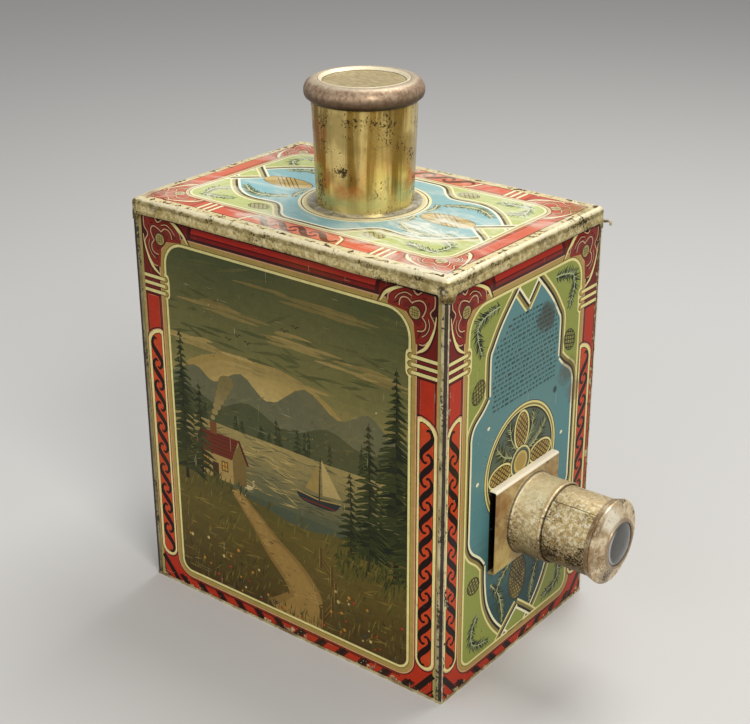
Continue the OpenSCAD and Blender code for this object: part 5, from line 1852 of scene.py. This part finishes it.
def buildChimney(look):
    slope = (look["capRadius"] - look["footRadius"]) / (look["capLow"] - look["foot"])
    levels = 40
    outer = []
    for k in range(levels + 1):
        z = look["foot"] + (look["top"] - look["foot"]) * k / levels
        curl = 0.25 * exp(-(z - look["foot"]) / 1.2)  # small turned foot
        outer.append((look["footRadius"] + slope * (z - look["foot"]) + curl, z))
    inner = [(r - look["thick"], z) for r, z in reversed(outer)]
    bm = lathe(outer + inner, 144)
    for vert in bm.verts:
        angle = atan2(vert.co.y, vert.co.x)
        z = vert.co.z / mm
        radius = hypot(vert.co.x, vert.co.y)
        flute = 0.16 * sin(angle * 9 + 1.1 * sin(angle * 2)) + look["dents"] * noise.noise(
            Vector((cos(angle) * 2.6, sin(angle) * 2.6, z / 60)))
        grow = 1 + flute * mm * smoothStep((236 - z) / 8) / radius
        vert.co.x *= grow
        vert.co.y *= grow
    return bm


def buildCollar(look):
    r = look["collarRadius"]
    low, high, flange = look["collarLow"], look["collarHigh"], look["flange"]
    foot = look["flangeRadius"]
    profile = [(r - 0.5, low), (r, low), (r, flange + 0.05), (foot - 0.4, flange + 0.05),
        (foot, flange + 0.2), (foot, flange + 0.45), (foot - 0.9, flange + 0.6),
        (foot - 1.6, flange + 0.5), (r + 0.3, flange + 0.55), (r, flange + 0.7), (r, high), (r - 0.5, high)]
    return lathe(profile, 128)


def buildCapRing(look):
    big, top, bend = look["capOuter"], look["capTop"], look["capRound"]
    disc = look["discRadius"] + 0.08

    def section(inset):
        points = [(disc, top - 0.35 - inset), (disc + 0.35, top - inset)]
        for a in range(80, -35, -9):
            points.append((big - bend + (bend - inset) * cos(radians(a)),
                           top - bend + (bend - inset) * sin(radians(a))))
        low = look["capHem"]
        points += [(23.3 - inset * 0.8, low + 0.5), (22.75 - inset * 0.5, low + inset * 0.3)]
        return points

    return lathe(section(0) + list(reversed(section(0.5))), 128)


def buildCapDisc(look):
    r, top = look["discRadius"], look["capTop"]
    flat = r - look["chamfer"]
    deep = top - look["recess"]
    profile = [(0, deep), (flat * 0.55, deep + 0.08), (flat - 0.5, deep), (flat - 0.05, deep + 0.05),
        (flat + 0.15, deep + 0.25), (r - 0.35, top + 0.05), (r - 0.1, top), (r, top - 0.2), (r, top - 1.0),
        (flat, deep - 0.5), (0, deep - 0.5)]
    return lathe(profile, 112, closed=False)


bm = buildChimney(chimneyLook)
addPiece("chimney_pipe", bm, [gilt], "chimney", ["chimney_tube"], sharp=60)
addPiece("chimney_seat", buildCollar(chimneyLook), [seatTin], "lid", ["chimney_collar"])
bm = buildCapRing(chimneyLook)
roundWobble(bm, 0.12, 1.6, 20)
addPiece("cap_bead", bm, [bronze], "chimney", ["cap_ring"], sharp=60)
addPiece("cap_top", buildCapDisc(chimneyLook), [discTin], "chimney", ["cap_disc"])
print("chimney ready")

# slide stage and objective

stageSize = {
    "front": 87.6, "wall": 83.95, "halfWide": 24.0, "low": 48.6, "high": 88.0, "thick": 0.5, "bend": 0.9,
    "hole": 15.0, "axis": (2.5, 67.6),
}


def buildStage(look):
    wide, low, high, bend = look["halfWide"], look["low"], look["high"], look["bend"]
    outline = [(-wide, low + bend), (wide, low + bend), (wide, high - bend), (-wide, high - bend)]
    art = Artwork(outline, (1, 1, 1, 1), 3)
    for i in range(9):
        for j in range(7):
            art.corners.append(Vector((-wide + 3 + i * 5.2, low + 4 + j * 5.2)))
    art.oval(look["axis"][0], look["axis"][1], look["hole"], look["hole"], None, points=80)
    bm = art.sheet(lambda u, v: (look["front"] * mm, u * mm, v * mm))
    for sign, level in ((1, high), (-1, low)):
        edge = level - sign * bend
        loop = [e for e in bm.edges if e.is_boundary and all(abs(v.co.z / mm - edge) < 1e-3
            for v in e.verts)]
        for up, back in rolled(bend, (22, 45, 68, 90)) + [(bend, look["front"] - look["wall"])]:
            verts, loop = extruded(bm, loop)
            for vert in verts:
                vert.co.x = (look["front"] - back) * mm
                vert.co.z = (edge + sign * up) * mm
    for vert in bm.verts:
        y, z = vert.co.y / mm, vert.co.z / mm
        vert.co.x += 0.18 * mm * noise.noise(Vector((y / 14, z / 14, 3.3)))
        vert.co.z += 0.14 * mm * noise.noise(Vector((y / 9, 5.1, z / 30)))
    return bm


stage = addPiece("stage_plate", buildStage(stageSize), [stageTin], "case", ["slide_stage"])
shell(stage, stageSize["thick"])
ease(stage, 0.06)

objectiveSize = {
    "axis": (2.5, 67.6), "socketX": 87.6, "socketRadius": 17.7, "bore": 17.2, "foot": 18.5, "mouth": 17.9,
    "length": 15.7,
    "drawRadius": 16.9, "drawBore": 16.4, "drawX": 92.9, "drawLength": 34.6, "bezelX": 127.5,
    "bezelRadius": 18.4,
    "eyeRadius": 10.9, "eyeX": 131.4, "lensRadius": 9.6,
}


def buildSocket(look):
    r, foot, mouth, length = look["socketRadius"], look["foot"], look["mouth"], look["length"]
    outer = [(foot, 0.0), (foot, 0.5), (foot - 0.15, 0.95), (foot - 0.6, 1.2), (r + 0.1, 1.35), (r, 1.7)]
    outer += [(r, 1.7 + (length - 4.2) * k / 8) for k in range(1, 9)]
    outer += rounded([(r, length - 2.3), (r + 0.12, length - 2.1), (mouth, length - 1.5),
        (mouth, length - 0.75), (r + 0.1, length - 0.35), (r - 0.1, length)], 0.3, 3)
    bm = lathe([(look["bore"], 0.0)] + outer + [(look["bore"], length)], 128)
    roundWobble(bm, 0.10, 2.0, 40, 2.0)
    layAlongX(bm, look["socketX"], *look["axis"])
    return bm


def buildDraw(look):
    r, length = look["drawRadius"], look["drawLength"]
    outer = [(r, length * k / 24) for k in range(25)]
    inner = [(look["drawBore"], z) for _, z in reversed(outer)]
    bm = lathe(outer + inner, 160)
    for vert in bm.verts:  # the lap of the sheet stands a little proud along one line
        angle = atan2(vert.co.y, vert.co.x)
        radius = hypot(vert.co.x, vert.co.y)
        lap = 0.28 * smoothStep((angle + 2.62) / 0.03) * smoothStep((-2.38 - angle) / 0.22)
        lap += 0.12 * noise.noise(Vector((cos(angle) * 2, sin(angle) * 2, vert.co.z * 45)))
        if radius > (look["drawBore"] + 0.2) * mm:
            vert.co.x *= 1 + lap * mm / radius
            vert.co.y *= 1 + lap * mm / radius
    layAlongX(bm, look["drawX"], *look["axis"])
    return bm


def buildBezel(look):
    r, eye, rise = look["bezelRadius"], look["eyeRadius"], look["eyeX"] - look["bezelX"]
    sleeve = look["drawRadius"] + 0.06
    profile = [(sleeve, -3.4), (sleeve + 0.42, -3.4), (sleeve + 0.5, -3.0), (sleeve + 0.5, -2.3),
        (sleeve + 0.85, -2.0), (sleeve + 0.85, -1.5), (sleeve + 0.55, -1.2)]
    profile += [(r - 0.55, -0.95), (r - 0.1, -0.6), (r, -0.1), (r - 0.1, 0.45), (r - 0.5, 0.8),
        (r - 1.0, 0.9), (r - 1.5, 0.8)]
    profile += [(r - 2.2, 0.95), (r - 4.0, 1.55), (eye + 2.0, 2.4), (eye + 0.7, 3.0), (eye + 0.15, 3.4),
        (eye, rise - 0.15), (eye - 0.15, rise), (eye - 0.8, rise),
        (look["lensRadius"] + 0.06, rise - 0.15), (look["lensRadius"] + 0.06, 1.3),
        (look["lensRadius"] - 0.6, 1.2), (look["lensRadius"] - 0.6, 0.7), (eye, 0.7), (r - 2.4, 0.35),
        (sleeve, 0.05)]
    bm = lathe(profile, 128)
    roundWobble(bm, 0.14, 1.7, 60, 5.0)
    layAlongX(bm, look["bezelX"], *look["axis"])
    return bm


addPiece("fixed_tube", buildSocket(objectiveSize), [objectiveTin], "case", ["objective_socket"])
addPiece("sliding_tube", buildDraw(objectiveSize), [objectiveTin], "objective", ["draw_tube"])
addPiece("eye_ring", buildBezel(objectiveSize), [bezelTin], "objective", ["objective_bezel"])
print("objective ready")

# finishes of the CAD nodes that stay

nodeFinish = [
    (tin, "base_pan"),
    (innerTin, "cap_legs rear_lens_ring condenser_cell condenser_ring"),
    (innerTin, "lamp_guides lamp_tray lamp_font reflector_arm"),
    (lensGlass, "front_lens rear_lens condenser_lens"),
    (brass, "screw_collar burner_body burner_gallery flame_deflector wick_tube wick_spindle wick_knob"),
    (cotton, "wick"),
    (lampGlass, "glass_chimney"),
    (mirrorTin, "reflector"),
]
for material, nodes in nodeFinish:
    for node in nodes.split():
        materials = frame["nodes"][node].data.materials
        materials.clear()
        materials.append(material)
print("nodes finished")
